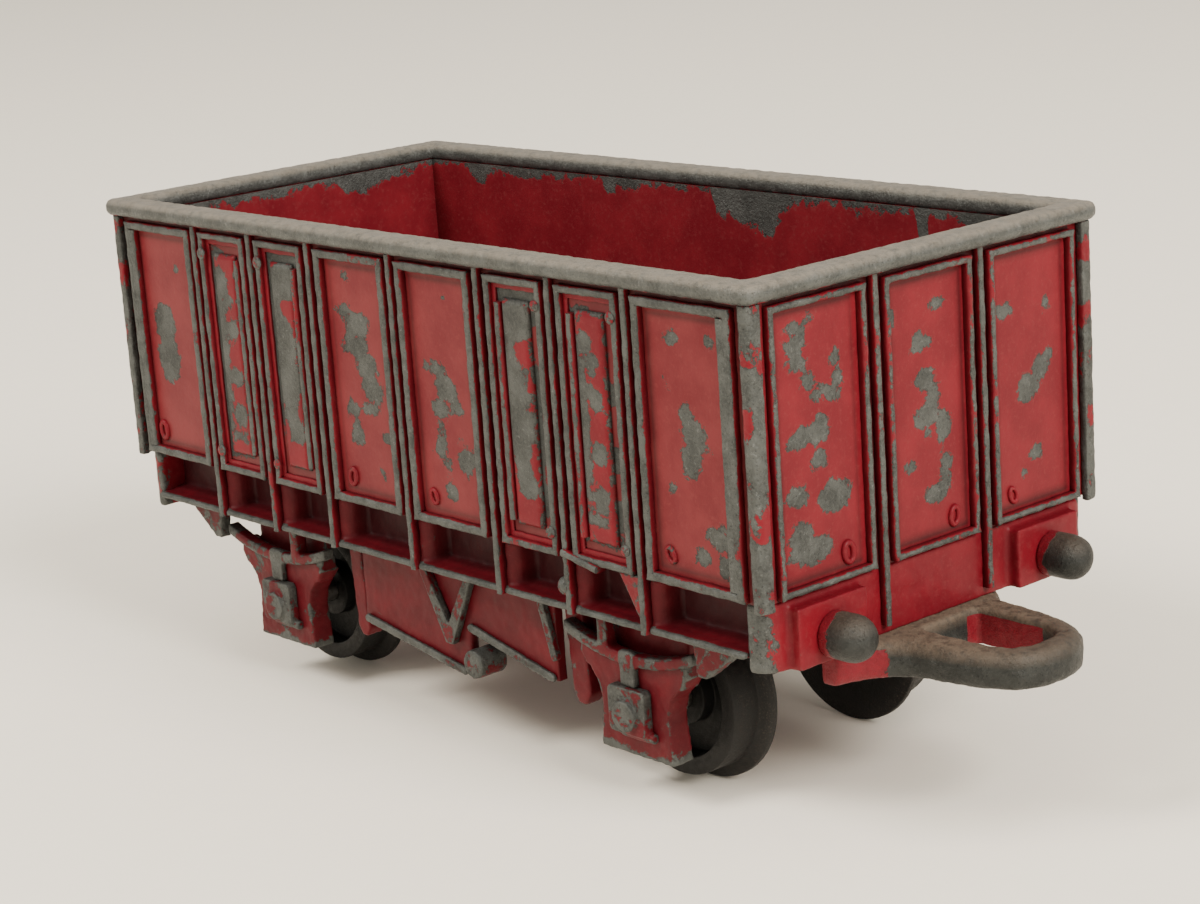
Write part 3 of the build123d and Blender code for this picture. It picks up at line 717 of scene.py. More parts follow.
def chipField(across, up, panel, marks):
    # how strongly the chips of one panel lie at each point: over 0.5 is bare
    left, right, bottom, top = panel
    width, height = right - left, top - bottom
    field = np.zeros(len(across))
    kept = np.zeros(len(across))
    for u, v, halfWide, halfHigh in marks:
        du = (across - left - u * width) / (abs(halfWide) * width)
        dv = (up - bottom - v * height) / (halfHigh * height)
        size = min(abs(halfWide) * width, halfHigh * height)
        near = 0.5 + (1 - np.sqrt(du ** 2 + dv ** 2)) * size * 1.25
        near = np.clip(near, 0, 1.1)
        if halfWide > 0:
            field = np.maximum(field, near)
        else:
            kept = np.maximum(kept, near)
    return np.clip(field - 1.1 * np.clip(kept - 0.35, 0, 1), 0, 1.1)


def insetBox(panel, inset):
    left, right, bottom, top = panel[:4]
    return (left + inset, right - inset, bottom + inset, top - inset)


def edgeDistance(across, up, box):
    # how far each point lies inside a box's nearest edge; below nothing is outside it
    left, right, bottom, top = box[:4]
    return np.minimum(np.minimum(across - left, right - across),
                      np.minimum(up - bottom, top - up))


sidePanels = {"right": ["farTall", "doorPatchy", "doorGrey", "middleLeft", "middleRight", "doorGrey",
                        "doorPatchy", "cornerTall"],
              "left": ["middleLeft", "doorGrey", "doorPatchy", "cornerTall", "farTall", "doorPatchy",
                       "doorGrey", "middleRight"]}
endPanels = {"front": ["endNear", "endMiddle", "endFar"], "rear": ["endMiddle", "endFar", "endNear"]}
# the dust numbers per face are partly dust and partly painted light: the long sides are paler than
# the ends, as if lit more
wallLook = {"step": 0.16, "bandDepth": 0.18, "stile": 0.5, "endStile": 0.4, "panelShadeReach": 0.28,
            "cornerShade": 0.75, "doorShade": 0.35, "barShade": 0.8, "insideDust": 0.06, "dust": {
                "right": 0.2, "left": 0.2, "front": 0.04, "rear": 0.08}}
# where paint has gone from the top of the inside: (along the wall, half length, how far down)
insideTongues = {
    "right": [(-9, 4, 0.7), (3, 5, 0.5), (14, 2.5, 1.0)],
    "left": [(-2.8, 2.7, 1.5), (-3.6, 1.0, 1.8), (-0.9, 0.7, 1.3), (-12.1, 0.35, 2.2),
             (-15.4, 3.2, 0.55), (-9, 2, 0.35), (6, 0.6, 0.7), (12, 3, 0.4), (15, 1.0, 0.8)],
    "front": [(-5, 2.5, 0.8), (2, 3, 0.5)], "rear": [(-4, 3, 0.8), (1, 2, 0.4), (6, 1.6, 1.1)],
}


def wallPiece(face, node, panels, marks):
    # one wall as a fine grid, with the chips of its outside and the worn band inside
    low, high = boxMm(node)
    mesh = griddedBox(low, high, wallLook["step"])
    co = points(mesh)
    flat = np.array([tuple(facing[face].inverted() @ Vector(p)) for p in co])
    across, up, depth = flat.T
    outside = depth > -0.05
    inside = depth < -body["wall"] + 0.05
    bare = np.zeros(len(co))
    hollowShade = np.zeros(len(co))
    stile = wallLook["stile"] if face in ("right", "left") else wallLook["endStile"]
    for panel, mark in zip(panels, marks):
        door = mark.startswith("door")
        inner = insetBox(panel, 0 if door else stile)
        edge = edgeDistance(across, up, inner)
        inPanel = outside & (edge > 0)
        bare = np.where(inPanel, chipField(across, up, inner, chips[mark]), bare)
        # painted shade inside each panel, darkest along its frame, and even on door panels
        darkening = np.clip(1 - edge / wallLook["panelShadeReach"], 0, 1) * wallLook["cornerShade"]
        hollowShade = np.where(inPanel, wallLook["doorShade"] if door else darkening, hollowShade)
    between = outside.copy()
    for panel in panels:
        between &= edgeDistance(across, up, panel) <= 0
    # painted shade where the frames stand on the wall
    hollowShade = np.where(between, wallLook["barShade"], hollowShade)
    # the band along the top of the inside, where paint has gone in ragged tongues
    depthOfBand = np.full(len(co), wallLook["bandDepth"]) + 0.2 * smoothNoise(co, 3.0, 5)
    for middle, reach, drop in insideTongues[face]:
        near = np.clip(1.4 - 1.4 * np.abs(across - middle) / reach, 0, 1)
        depthOfBand = np.maximum(depthOfBand, drop * near)
    fromTop = body["top"] - up
    band = np.clip(0.5 + (depthOfBand - fromTop) * 0.8, 0, 1)
    bare = np.where(inside, band, bare)
    # painted shade inside the tub, darker towards the bottom
    hollowShade = np.where(inside, np.clip(1 - (up - body["bottom"] - 0.7) / 1.6, 0, 1) * 0.5, hollowShade)
    store(mesh, "bare", bare)
    store(mesh, "hollowShade", hollowShade)
    # dust per face, partly painted light that makes the long sides paler
    store(mesh, "dusty", np.where(outside, wallLook["dust"][face], wallLook["insideDust"]))
    return piece("wall_" + face, mesh, "outside", "wagon", [node], smooth=False)


print("stage: walls")
frameBoxes = {face: onWall(stem + face, face) for face, stem in (
    ("right", "panel_frames_"), ("left", "panel_frames_"),
    ("front", "end_panel_frames_"), ("rear", "end_panel_frames_"))}
doorBoxes = {}
for face in ("right", "left"):
    boxes = onWall("door_leaves_" + face, face)
    heights = max(b[4] for b in boxes)
    doorBoxes[face] = {
        "leaves": [b for b in boxes if b[4] > heights - 0.05],
        "panels": [b for b in boxes if b[4] <= heights - 0.05],
    }
for face in ("right", "left"):
    allPanels = sorted(frameBoxes[face] + doorBoxes[face]["leaves"])
    wallPiece(face, "side_wall_" + face, allPanels, sidePanels[face])
for face in ("front", "rear"):
    wallPiece(face, "end_wall_" + face, frameBoxes[face], endPanels[face])


# raised work on the walls

bead = {"stile": 0.66, "crest": 0.36, "lip": 0.10, "doorStile": 0.5, "endStile": 0.48,
        "endCrest": 0.27, "doorCrest": 0.30, "edgeRound": 0.13, "step": 0.13, "roughness": 0.11,
        "ribWidth": 0.28, "ribRound": 0.1, "mitre": 1.33, "under": 0.15, "ledgeUnder": 0.12,
        "plateStep": 0.11, "plateRound": 0.12, "plateFoot": 0.1}


def pathDrawing(paths, closed):
    # paths drawn flat with a point every step, and a number that widens the bar at corners
    verts, edges, mitre = [], [], []
    for path in paths:
        start = len(verts)
        legs = list(zip(path, path[1:] + path[:1])) if closed else list(zip(path, path[1:]))
        for a, b in legs:
            a, b = Vector(a), Vector(b)
            count = max(2, round((b - a).length / bead["step"]))
            for i in range(count):
                verts.append(a.lerp(b, i / count))
                mitre.append(bead["mitre"] if closed and i == 0 else 1.0)
        if not closed:
            verts.append(Vector(path[-1]))
            mitre.append(1.0)
        last = len(verts) - 1
        edges += [(i, i + 1) for i in range(start, last)]
        if closed:
            edges.append((last, start))
    mesh = flatMesh("drawing", verts, edges)
    store(mesh, "mitre", mitre)
    return mesh


def ringDrawing(boxes, width, inset=0.0):
    # the middle lines of rectangular frames
    step = inset + width / 2
    return pathDrawing([[(left + step, bottom + step, 0), (right - step, bottom + step, 0),
                         (right - step, top - step, 0), (left + step, top - step, 0)]
                        for left, right, bottom, top, _ in boxes], True)


def lineDrawing(boxes):
    # the middle lines of upright bars
    return pathDrawing([[((left + right) / 2, bottom, 0), ((left + right) / 2, top, 0)]
                        for left, right, bottom, top, _ in boxes], False)


def raisedWork(face, drawing, width, height, rounding, seed, keep=1.0):
    # bars swept along a drawing, worn bare on top, then turned onto their wall
    mesh = runTree(trees["bead"], drawing, {
        "Bar width": width, "Bar height": height, "Edge round": rounding,
        "Roughness": bead["roughness"], "Seed": float(seed), "Finish": finish["outside"]})
    co = points(mesh)
    co[:, 2] = np.clip(co[:, 2], -0.12, height)
    setPoints(mesh, co)
    worn = np.clip((co[:, 2] / height - 0.55) / 0.4, 0, 1)
    patchy = smoothNoise(co, 4.0, seed) * 0.22
    store(mesh, "bare", np.clip(worn * (0.86 * keep + patchy), 0, 1.2))
    # painted shade: each bar is darker towards its foot
    store(mesh, "hollowShade", np.clip(0.85 - co[:, 2] / height, 0, 0.8))
    mesh.transform(facing[face])
    return mesh


def frameBeads(face, boxes, crest, seed, keep=1.0):
    # the round-edged bead along the outer edge of each frame
    return raisedWork(face, ringDrawing(boxes, crest), crest, body["proud"], bead["edgeRound"],
                      seed, keep)


def doorFrames(face, boxes, seed):
    # a door's leaf: a high outer bead and a low inner ledge that runs a little under it
    high = frameBeads(face, boxes, bead["doorCrest"], seed)
    start = bead["doorCrest"] - bead["ledgeUnder"]
    width = bead["doorStile"] - start
    low = raisedWork(face, ringDrawing(boxes, width, start), width, bead["lip"], 0.05,
                     seed + 200, 0.0)
    return [high, low]


def plateChips(plate, face, box, mark):
    # the raised plate of a door: its edge sinks away, and its paint is chipped and rubbed
    left, right, bottom, top, high = box
    co = points(plate)
    rim = edgeDistance(co[:, 0], co[:, 1], box)
    sink = np.clip(bead["plateRound"] - rim, 0, bead["plateRound"]) * 0.9
    co[:, 2] -= np.where(co[:, 2] > 0, sink, 0)
    setPoints(plate, co)
    field = chipField(co[:, 0], co[:, 1], (left, right, bottom, top), chips[mark])
    store(plate, "bare", np.maximum(field, np.clip(0.62 - rim * 2.0, 0, 0.55)))
    # painted shade on the plate's lower sides
    store(plate, "hollowShade", np.where(co[:, 2] > high * 0.4, 0, 0.5))
    plate.transform(facing[face])
    return plate


def uprightRibs(label, stem, face, seed, keep=1.0):
    ribs = raisedWork(face, lineDrawing(onWall(stem + face, face)), bead["ribWidth"],
                      body["proud"], bead["ribRound"], seed, keep)
    piece(label + face, ribs, "outside", "wagon", [stem + face])


print("stage: frames, doors and ribs")
for number, face in enumerate(("right", "left")):
    rings = [frameBeads(face, frameBoxes[face], bead["crest"], 3 + number)]
    broad = []  # the stile at each end of the wagon is broad and flat
    for left, right, bottom, top, high in (frameBoxes[face][0], frameBoxes[face][-1]):
        start = bead["crest"] - bead["under"]
        reach = (left + start, left + bead["stile"]) if left < 0 else (
            right - bead["stile"], right - start)
        broad.append((*reach, bottom + bead["crest"], top - bead["crest"], high))
    width = bead["stile"] - bead["crest"] + bead["under"]
    rings.append(raisedWork(face, lineDrawing(broad), width, body["proud"] * 0.96, 0.08, 8 + number))
    piece("panelFrames_" + face, joinMeshes("frames", rings), "outside", "wagon",
          ["panel_frames_" + face])
    door = doorFrames(face, doorBoxes[face]["leaves"], 13 + number)
    doorMarks = [m for m in sidePanels[face] if m.startswith("door")]
    for box, mark in zip(doorBoxes[face]["panels"], doorMarks):
        left, right, bottom, top, high = box
        plate = griddedBox((left, bottom, -bead["plateFoot"]), (right, top, high), bead["plateStep"])
        door.append(plateChips(plate, face, box, mark))
    piece("doorLeaves_" + face, joinMeshes("door", door), "outside", "wagon",
          ["door_leaves_" + face])
    uprightRibs("sideRibs_", "side_ribs_", face, 23 + number)
for number, face in enumerate(("front", "rear")):
    rings = frameBeads(face, frameBoxes[face], bead["endCrest"], 33 + number, 0.78)
    piece("endFrames_" + face, rings, "outside", "wagon", ["end_panel_frames_" + face])
    uprightRibs("endRibs_", "end_ribs_", face, 43 + number, 0.82)


# door fittings

fitting = {"ringWide": 0.22, "ringHigh": 0.34, "ringThick": 0.11, "ringUp": 0.4, "ringIn": 0.42,
           "ringOut": 0.03, "ringSizes": (0.8, 1.15), "ringTurn": 0.6, "latchRadius": 0.26,
           "latchReach": 0.95, "rodWidth": 0.3, "rodRound": 0.13, "wallReach": (-0.2, 1)}


def dome(radius, height, turns=14, rows=5):
    # a low rounded boss, closed underneath
    verts = [(0, 0, height)]
    for row in range(1, rows + 1):
        angle = row / rows * math.pi / 2
        for turn in range(turns):
            swing = turn / turns * 2 * math.pi
            verts.append((radius * math.sin(angle) * math.cos(swing),
                          radius * math.sin(angle) * math.sin(swing), height * math.cos(angle)))
    faces = [(0, 1 + i, 1 + (i + 1) % turns) for i in range(turns)]
    for row in range(rows - 1):
        for i in range(turns):
            a, b = 1 + row * turns + i, 1 + row * turns + (i + 1) % turns
            faces.append((a, a + turns, b + turns, b))
    base = 1 + (rows - 1) * turns
    faces.append([base + i for i in range(turns)][::-1])
    return flatMesh("dome", verts, (), faces)


def ropeRing(wide, high, thick, turns=26, around=8):
    # a small oval ring lying against the wall
    verts, faces = [], []
    for turn in range(turns):
        swing = turn / turns * 2 * math.pi
        centre = Vector((wide * math.cos(swing), high * math.sin(swing), 0))
        out = Vector((math.cos(swing), math.sin(swing) * wide / high, 0)).normalized()
        for step in range(around):
            angle = step / around * 2 * math.pi
            verts.append(centre + out * thick * math.cos(angle)
                         + Vector((0, 0, thick * math.sin(angle))))
    for turn in range(turns):
        for step in range(around):
            a = turn * around + step
            b = turn * around + (step + 1) % around
            c = (turn + 1) % turns * around + (step + 1) % around
            d = (turn + 1) % turns * around + step
            faces.append((a, d, c, b))
    return flatMesh("ring", verts, (), faces)


def setFittings(shape, spots, seed, smallest=0.9, largest=1.1, turn=0.1, roughness=0.06):
    # one fitting on each spot of a flat drawing
    pattern = newObject("pattern", shape)
    mesh = runTree(trees["fitting"], flatMesh("spots", spots), {
        "Fitting": pattern, "Smallest": smallest, "Largest": largest, "Turn": turn,
        "Roughness": roughness, "Seed": float(seed), "Finish": finish["outside"]})
    dropObject(pattern)
    return mesh


def ropeRings(face, spots, seed, bare):
    # one worn ring on each spot, turned onto its wall
    ring = ropeRing(fitting["ringWide"], fitting["ringHigh"], fitting["ringThick"])
    rings = setFittings(ring, spots, seed, *fitting["ringSizes"], fitting["ringTurn"])
    store(rings, "bare", np.full(len(rings.vertices), bare))
    rings.transform(facing[face])
    return rings


# the odd bits at the foot of the doors nearest the coupling loop, drawn for the right-hand side
footWork = {
    "knob": (9.07, 7.85), "knobSize": 0.36, "bar": ((9.25, 9.2), (11.1, 8.85)), "barWidth": 0.28,
    "barHeight": 0.46, "gusset": ((12.1, 8.95), (13.3, 8.95), (13.3, 7.0)), "gussetHeight": 0.2,
}


def prism(outline, low, high):
    # a flat outline given thickness
    count = len(outline)
    verts = [(x, y, z) for z in (low, high) for x, y in outline]
    faces = [list(range(count))[::-1], list(range(count, 2 * count))]
    faces += [(i, (i + 1) % count, (i + 1) % count + count, i + count) for i in range(count)]
    return flatMesh("prism", verts, (), faces)


print("stage: door fittings")
latchMeshes, rodMeshes = [], []
for number, face in enumerate(("right", "left")):
    spots = []
    back = facing[face].inverted()
    for low, high in islands("door_latches"):
        middle = back @ ((low + high) / 2)
        if fitting["wallReach"][0] < middle.z < fitting["wallReach"][1]:
            spots.append((middle.x, middle.y, body["proud"] - 0.02))
    latchHeight = boxMm("door_latches")[1].y - body["halfWidth"] - body["proud"]
    domes = setFittings(dome(fitting["latchRadius"], latchHeight * fitting["latchReach"]), spots,
                        51 + number)
    store(domes, "bare", 0.42 + 0.5 * np.random.default_rng(3).random(len(domes.vertices)) * 0.5)
    domes.transform(facing[face])
    latchMeshes.append(domes)

    hand = 1 if face == "right" else -1
    (startX, startUp), (endX, endUp) = footWork["bar"]
    drawing = pathDrawing([[(hand * startX, startUp, 0), (hand * endX, endUp, 0)]], False)
    bar = raisedWork(face, drawing, footWork["barWidth"], footWork["barHeight"], 0.12, 91 + number)
    outline = [(hand * x, up) for x, up in footWork["gusset"]][::-hand]
    gusset = castFrom([prism(outline, -0.05, footWork["gussetHeight"])], 0.06, 3, 0.06, 95 + number,
                      "outside")
    markWearAndShade(gusset, 0.35, 2.0)
    gusset.transform(facing[face])
    knobX, knobUp = footWork["knob"]
    knob = setFittings(dome(footWork["knobSize"], footWork["knobSize"]),
                       [(hand * knobX, knobUp, 0.05)], 97 + number)
    markWearAndShade(knob, 0.5, 0.5)
    knob.transform(facing[face])
    latchMeshes += [bar, gusset, knob]

    lines = [b for b in onWall("door_hinge_rods", face)
             if fitting["wallReach"][0] < b[4] < fitting["wallReach"][1]]
    rodMeshes.append(raisedWork(face, lineDrawing(lines), fitting["rodWidth"], fitting["rodWidth"],
                                fitting["rodRound"], 61 + number, 0.8))

    ringSpots = [(left + bead["stile"] + fitting["ringIn"],
                  bottom + bead["stile"] + fitting["ringUp"], fitting["ringOut"])
                 for left, _, bottom, *_ in frameBoxes[face]]
    rodMeshes.append(ropeRings(face, ringSpots, 71 + number, 0.36))
piece("doorLatches", joinMeshes("latches", latchMeshes), "outside", "wagon", ["door_latches"])
piece("doorHingeRods", joinMeshes("rods", rodMeshes), "outside", "wagon", ["door_hinge_rods"])

endRings = []
for number, face in enumerate(("front", "rear")):
    spots = [((right if left < 0 else left) * 0.5 + (left + right) * 0.25,
              bottom + bead["endStile"] + fitting["ringUp"], fitting["ringOut"])
             for left, right, bottom, *_ in frameBoxes[face]]
    endRings.append(ropeRings(face, spots, 81 + number, 0.3))
piece("ropeRings", joinMeshes("rings", endRings), "outside", "wagon", None)


# rim, posts and floor

print("stage: rim, posts and floor")
# "cast" is (voxel, softness, roughness), and "wear" (all over, at edges, painted shade in hollows).
# Dust, shadow and red are ramps: (start, gain, most).
rimLook = {"cast": (0.12, 6, 0.11), "dust": (0.42, 2.4, 0.5), "shadow": (-0.12, 4, 0.8),
           "red": (-0.18, 3.5, 0.75)}
postLook = {"cast": (0.07, 4, 0.10), "wear": (0.62, 1.3, 2.0), "patchSize": 2.2, "patches": 0.4}
floorLook = {"cast": (0.3, 1, 0.12), "wear": (0.05, 0.5, 0.0), "patchSize": 5.0, "patches": 0.28}

rim = castFrom([cadCopy("top_rim")], *rimLook["cast"], 5, "zinc")
overWall = points(rim)[:, 2] - body["top"]
store(rim, "dusty", ramp(overWall, *rimLook["dust"]))
store(rim, "hollowShade", ramp(-overWall, *rimLook["shadow"]))
store(rim, "leftRed", ramp(-overWall, *rimLook["red"]))
piece("topRim", rim, "zinc", "wagon", ["top_rim"])
for label, node, shape, seed, patchSeed, kind in (
        ("cornerPosts", "corner_posts", postLook, 6, 8, "outside"),
        ("tubFloor", "tub_floor", floorLook, 7, 4, "inside")):
    mesh = castFrom([cadCopy(node)], *shape["cast"], seed, kind)
    markWearAndShade(mesh, *shape["wear"],
             smoothNoise(points(mesh), shape["patchSize"], patchSeed) * shape["patches"])
    piece(label, mesh, kind, "wagon", [node])


# underframe

print("stage: underframe")
sides, ends, single = ("_right", "_left"), ("_front", "_rear"), ("",)
underframe = {  # which there are, voxel, softness, roughness, wear all over, wear at edges
    "solebar": (sides, 0.11, 3, 0.08, 0.06, 2.6),
    "headstock": (ends, 0.1, 4, 0.08, 0.10, 2.2),
    "brake_skirt": (sides, 0.1, 3, 0.08, 0.08, 2.2),
    "push_rods": (sides, 0.06, 3, 0.06, 0.62, 1.5),
    "v_hanger": (sides, 0.06, 3, 0.06, 0.52, 1.6),
    "brake_hangers": (single, 0.06, 3, 0.06, 0.5, 1.4),
    "brake_blocks": (single, 0.08, 4, 0.08, 0.3, 1.8),
    "brake_shafts": (single, 0.08, 4, 0.08, 0.5, 1.4),
    "spring_shoes": (single, 0.08, 3, 0.08, 0.45, 2.0),
    "base_plate": (single, 0.3, 1, 0.12, 0.1, 0.8),
    "base_rivets": (single, 0.1, 3, 0.06, 0.8, 1.0),
}
solebarLook = {"flangeReach": 0.86, "flangeThick": 0.32, "recess": 0.45, "faceRoom": 0.14,
               "faceSlope": 0.12, "backRoom": 0.7, "backSlope": 0.3, "shadeReach": 0.2,
               "shade": 0.72, "lip": 0.22, "lipWear": 0.62}
headstockLook = {"cornerWear": 0.38, "cornerReach": 0.75, "cornerSlope": 0.4}


def solebarFace(mesh, node):
    # sinks the face between the pillars and shades it; hands back the shade and the lip's wear
    shape = solebarLook
    co = points(mesh)
    side = np.abs(co[:, 1])
    low, high = boxMm(node)
    face = (high.y if node.endswith("left") else -low.y) - shape["flangeReach"]
    above = co[:, 2] > low.z + shape["flangeThick"]
    sunk = (np.clip((face + shape["faceRoom"] - side) / shape["faceSlope"], 0, 1)
            * np.clip((side - face + shape["backRoom"]) / shape["backSlope"], 0, 1))
    co[:, 1] -= np.sign(co[:, 1]) * shape["recess"] * sunk * above
    setPoints(mesh, co)
    reach = shape["shadeReach"]
    shade = above * np.clip((face + reach - side) / reach, 0, 1) * shape["shade"]
    return shade, shape["lipWear"] * (side > face + shape["flangeReach"] - shape["lip"])


underframeNodes = [(stem + end, stem, *rest) for stem, (there, *rest) in underframe.items()
                   for end in there]
for number, (node, stem, *cast, base, gain) in enumerate(underframeNodes):
    mesh = castFrom([cadCopy(node)], *cast, 100 + number)
    shade = None
    if stem == "solebar":
        shade, lip = solebarFace(mesh, node)
        base = base + lip
    co = points(mesh)
    if stem == "headstock":
        fromMiddle = np.abs(co[:, 1]) - body["halfWidth"] + headstockLook["cornerReach"]
        corner = np.clip(fromMiddle / headstockLook["cornerSlope"], 0, 1)
        base = base + headstockLook["cornerWear"] * corner
    markWearAndShade(mesh, base, gain, 2.4, smoothNoise(co, 4.0, 200 + number) * 0.16, shade=shade)
    words = node.split("_")
    kind = "outside" if stem == "headstock" else "inside"
    piece(words[0] + "".join(w.capitalize() for w in words[1:]), mesh, kind, "wagon", [node])


# buffers and couplings

print("stage: buffers and couplings")
bufferLook = {"cast": (0.07, 5, 0.05), "pad": 0.5, "redAtPad": 0.86, "redFade": 0.9,
              "redMost": 0.72, "dust": (7.5, 0.6, 0.45)}
loopLook = {"cast": (0.1, 7, 0.12), "redAtRoot": 0.95, "redFade": 0.55, "redMost": 0.8,
            "redSide": (2.6, 0.5, 1), "redGain": 2.2, "hole": (0.9, 1.72), "holeRed": 0.75,
            "holeEnd": 2.2, "rootTop": 0.25, "holeTop": 0.2, "dust": (-0.55, 1.8, 0.95),
            "dustAtRoot": 1.35, "dustFade": 0.14, "dustLeast": 0.3}
pegLook = {"cast": (0.09, 4, 0.08), "red": (-20.0, 0.8, 0.8), "dust": 0.3}

for number, end in enumerate(("front", "rear")):
    for side in ("right", "left"):
        node = "buffer_%s_%s" % (end, side)
        mesh = castFrom([cadCopy(node)], *bufferLook["cast"], 120 + number, "lowZinc")
        co = points(mesh)
        fromPad = np.abs(co[:, 0]) - body["halfLength"] - bufferLook["pad"]
        store(mesh, "leftRed", np.clip(bufferLook["redAtPad"] - fromPad * bufferLook["redFade"],
                                       0, bufferLook["redMost"]))
        store(mesh, "dusty", ramp(co[:, 2], *bufferLook["dust"]))
        piece("buffer%s%s" % (end.capitalize(), side.capitalize()), mesh, "lowZinc", "wagon", [node])

# paint is left at the loop's root, more on one side, and along one side of its hole
loop = castFrom([cadCopy("coupling_loop")], *loopLook["cast"], 130, "lowZinc")
x, y, z = points(loop).T
loopHigh = boxMm("coupling_loop")[1]
fromRoot = x - body["halfLength"]
rootRed = (np.clip(loopLook["redAtRoot"] - fromRoot * loopLook["redFade"], 0, loopLook["redMost"])
           * (z < loopHigh.z - loopLook["rootTop"]))
nearSide = ramp(np.abs(y), *loopLook["redSide"]) * (y < 0)
holeRed = loopLook["holeRed"] * (
    (y > loopLook["hole"][0]) & (y < loopLook["hole"][1])
    & (z < loopHigh.z - loopLook["holeTop"]) & (x < loopHigh.x - loopLook["holeEnd"]))
store(loop, "leftRed", np.maximum(
    np.clip(rootRed * nearSide * loopLook["redGain"], 0, loopLook["redMost"]), holeRed))
store(loop, "dusty", ramp(z - loopHigh.z, *loopLook["dust"])
      * np.clip(loopLook["dustAtRoot"] - fromRoot * loopLook["dustFade"], loopLook["dustLeast"], 1))
# painted shade in the loop's hollows
store(loop, "hollowShade", np.clip(-2 * curvature(loop, 3), 0, 0.7))
piece("couplingLoop", loop, "lowZinc", "wagon", ["coupling_loop"])

peg = castFrom([cadCopy("coupling_peg")], *pegLook["cast"], 131, "lowZinc")
store(peg, "leftRed", ramp(points(peg)[:, 0], *pegLook["red"]))
store(peg, "dusty", np.full(len(peg.vertices), pegLook["dust"]))
piece("couplingPeg", peg, "lowZinc", "wagon", ["coupling_peg"])


# running gear

print("stage: running gear")
guardLook = {
    "heights": (1.35, 3.1, 3.9, 4.9), "halfWidths": (1.98, 1.78, 1.98, 2.9),
    "cadHalfWidths": (2.35, 1.95, 2.39, 2.95), "keep": 0.8,
    "webHalfLength": 2.88, "webThick": 0.85, "springLow": 4.9, "springSag": 0.7, "springHalf": 3.5,
    "strap": 0.42, "barHalfLength": 0.85, "barRadius": 0.2, "boreRadius": 0.58, "endRoom": 0.08,
    "foot": 0.5, "cast": (0.09, 4, 0.10), "wear": (0.2, 3.0, 2.4),
}
springLook = {"cast": (0.08, 3, 0.06), "wear": (0.28, 2.0, 2.4), "strapWear": 0.4,
              "tips": (2.2, 1, 1), "tipWear": 0.35}
boxLook = {"cast": (0.06, 3, 0.06), "wear": (0.46, 1.8, 2.4), "upper": 0.75, "upperWear": 0.18}
wheelBevel = {"width": 0.06, "segments": 2, "limit_method": "ANGLE",
              "angle_limit": math.radians(30)}
rimWear = (2.1, 0.6, 0.8)


def webUnderSpring(centre, face, inward):
    # the plate that fills the wedge between a guard's top and the bent spring over it
    low = guardLook["springLow"]
    steps = np.linspace(-guardLook["webHalfLength"], guardLook["webHalfLength"], 17)
    tops = low + guardLook["springSag"] * (steps / guardLook["springHalf"]) ** 2 + 0.12
    outline = [(centre + steps[0], low - 0.5), (centre + steps[-1], low - 0.5)]
    outline += [(centre + a, b) for a, b in zip(steps[::-1], tops[::-1])]
    count = len(outline)
    ys = (face, face + inward * guardLook["webThick"])
    verts = [(x, y, z) for y in ys for x, z in outline]
    faces = [list(range(count)), list(range(count, 2 * count))[::-1]]
    faces += [(i, i + count, (i + 1) % count + count, (i + 1) % count) for i in range(count)]
    mesh = flatMesh("web", verts, (), faces)
    mendFaces(mesh)
    return mesh


def roundBar(radius, halfLength, axis, place):
    # a short round bar along X or Y
    work = bmesh.new()
    bmesh.ops.create_cone(work, cap_ends=True, segments=24, radius1=radius, radius2=radius,
                          depth=2 * halfLength)
    mesh = bpy.data.meshes.new("bar")
    work.to_mesh(mesh)
    work.free()
    turn = Matrix.Rotation(math.pi / 2, 4, "Y" if axis == "X" else "X")
    mesh.transform(Matrix.Translation(place) @ turn)
    return mesh


def cutAway(mesh, cutter):
    # one closed mesh taken out of another
    tool = newObject("cutter", cutter)
    done = reworked(mesh, ("BOOLEAN", {"operation": "DIFFERENCE", "solver": "EXACT",
                                       "object": tool}))
    dropObject(tool)
    return done


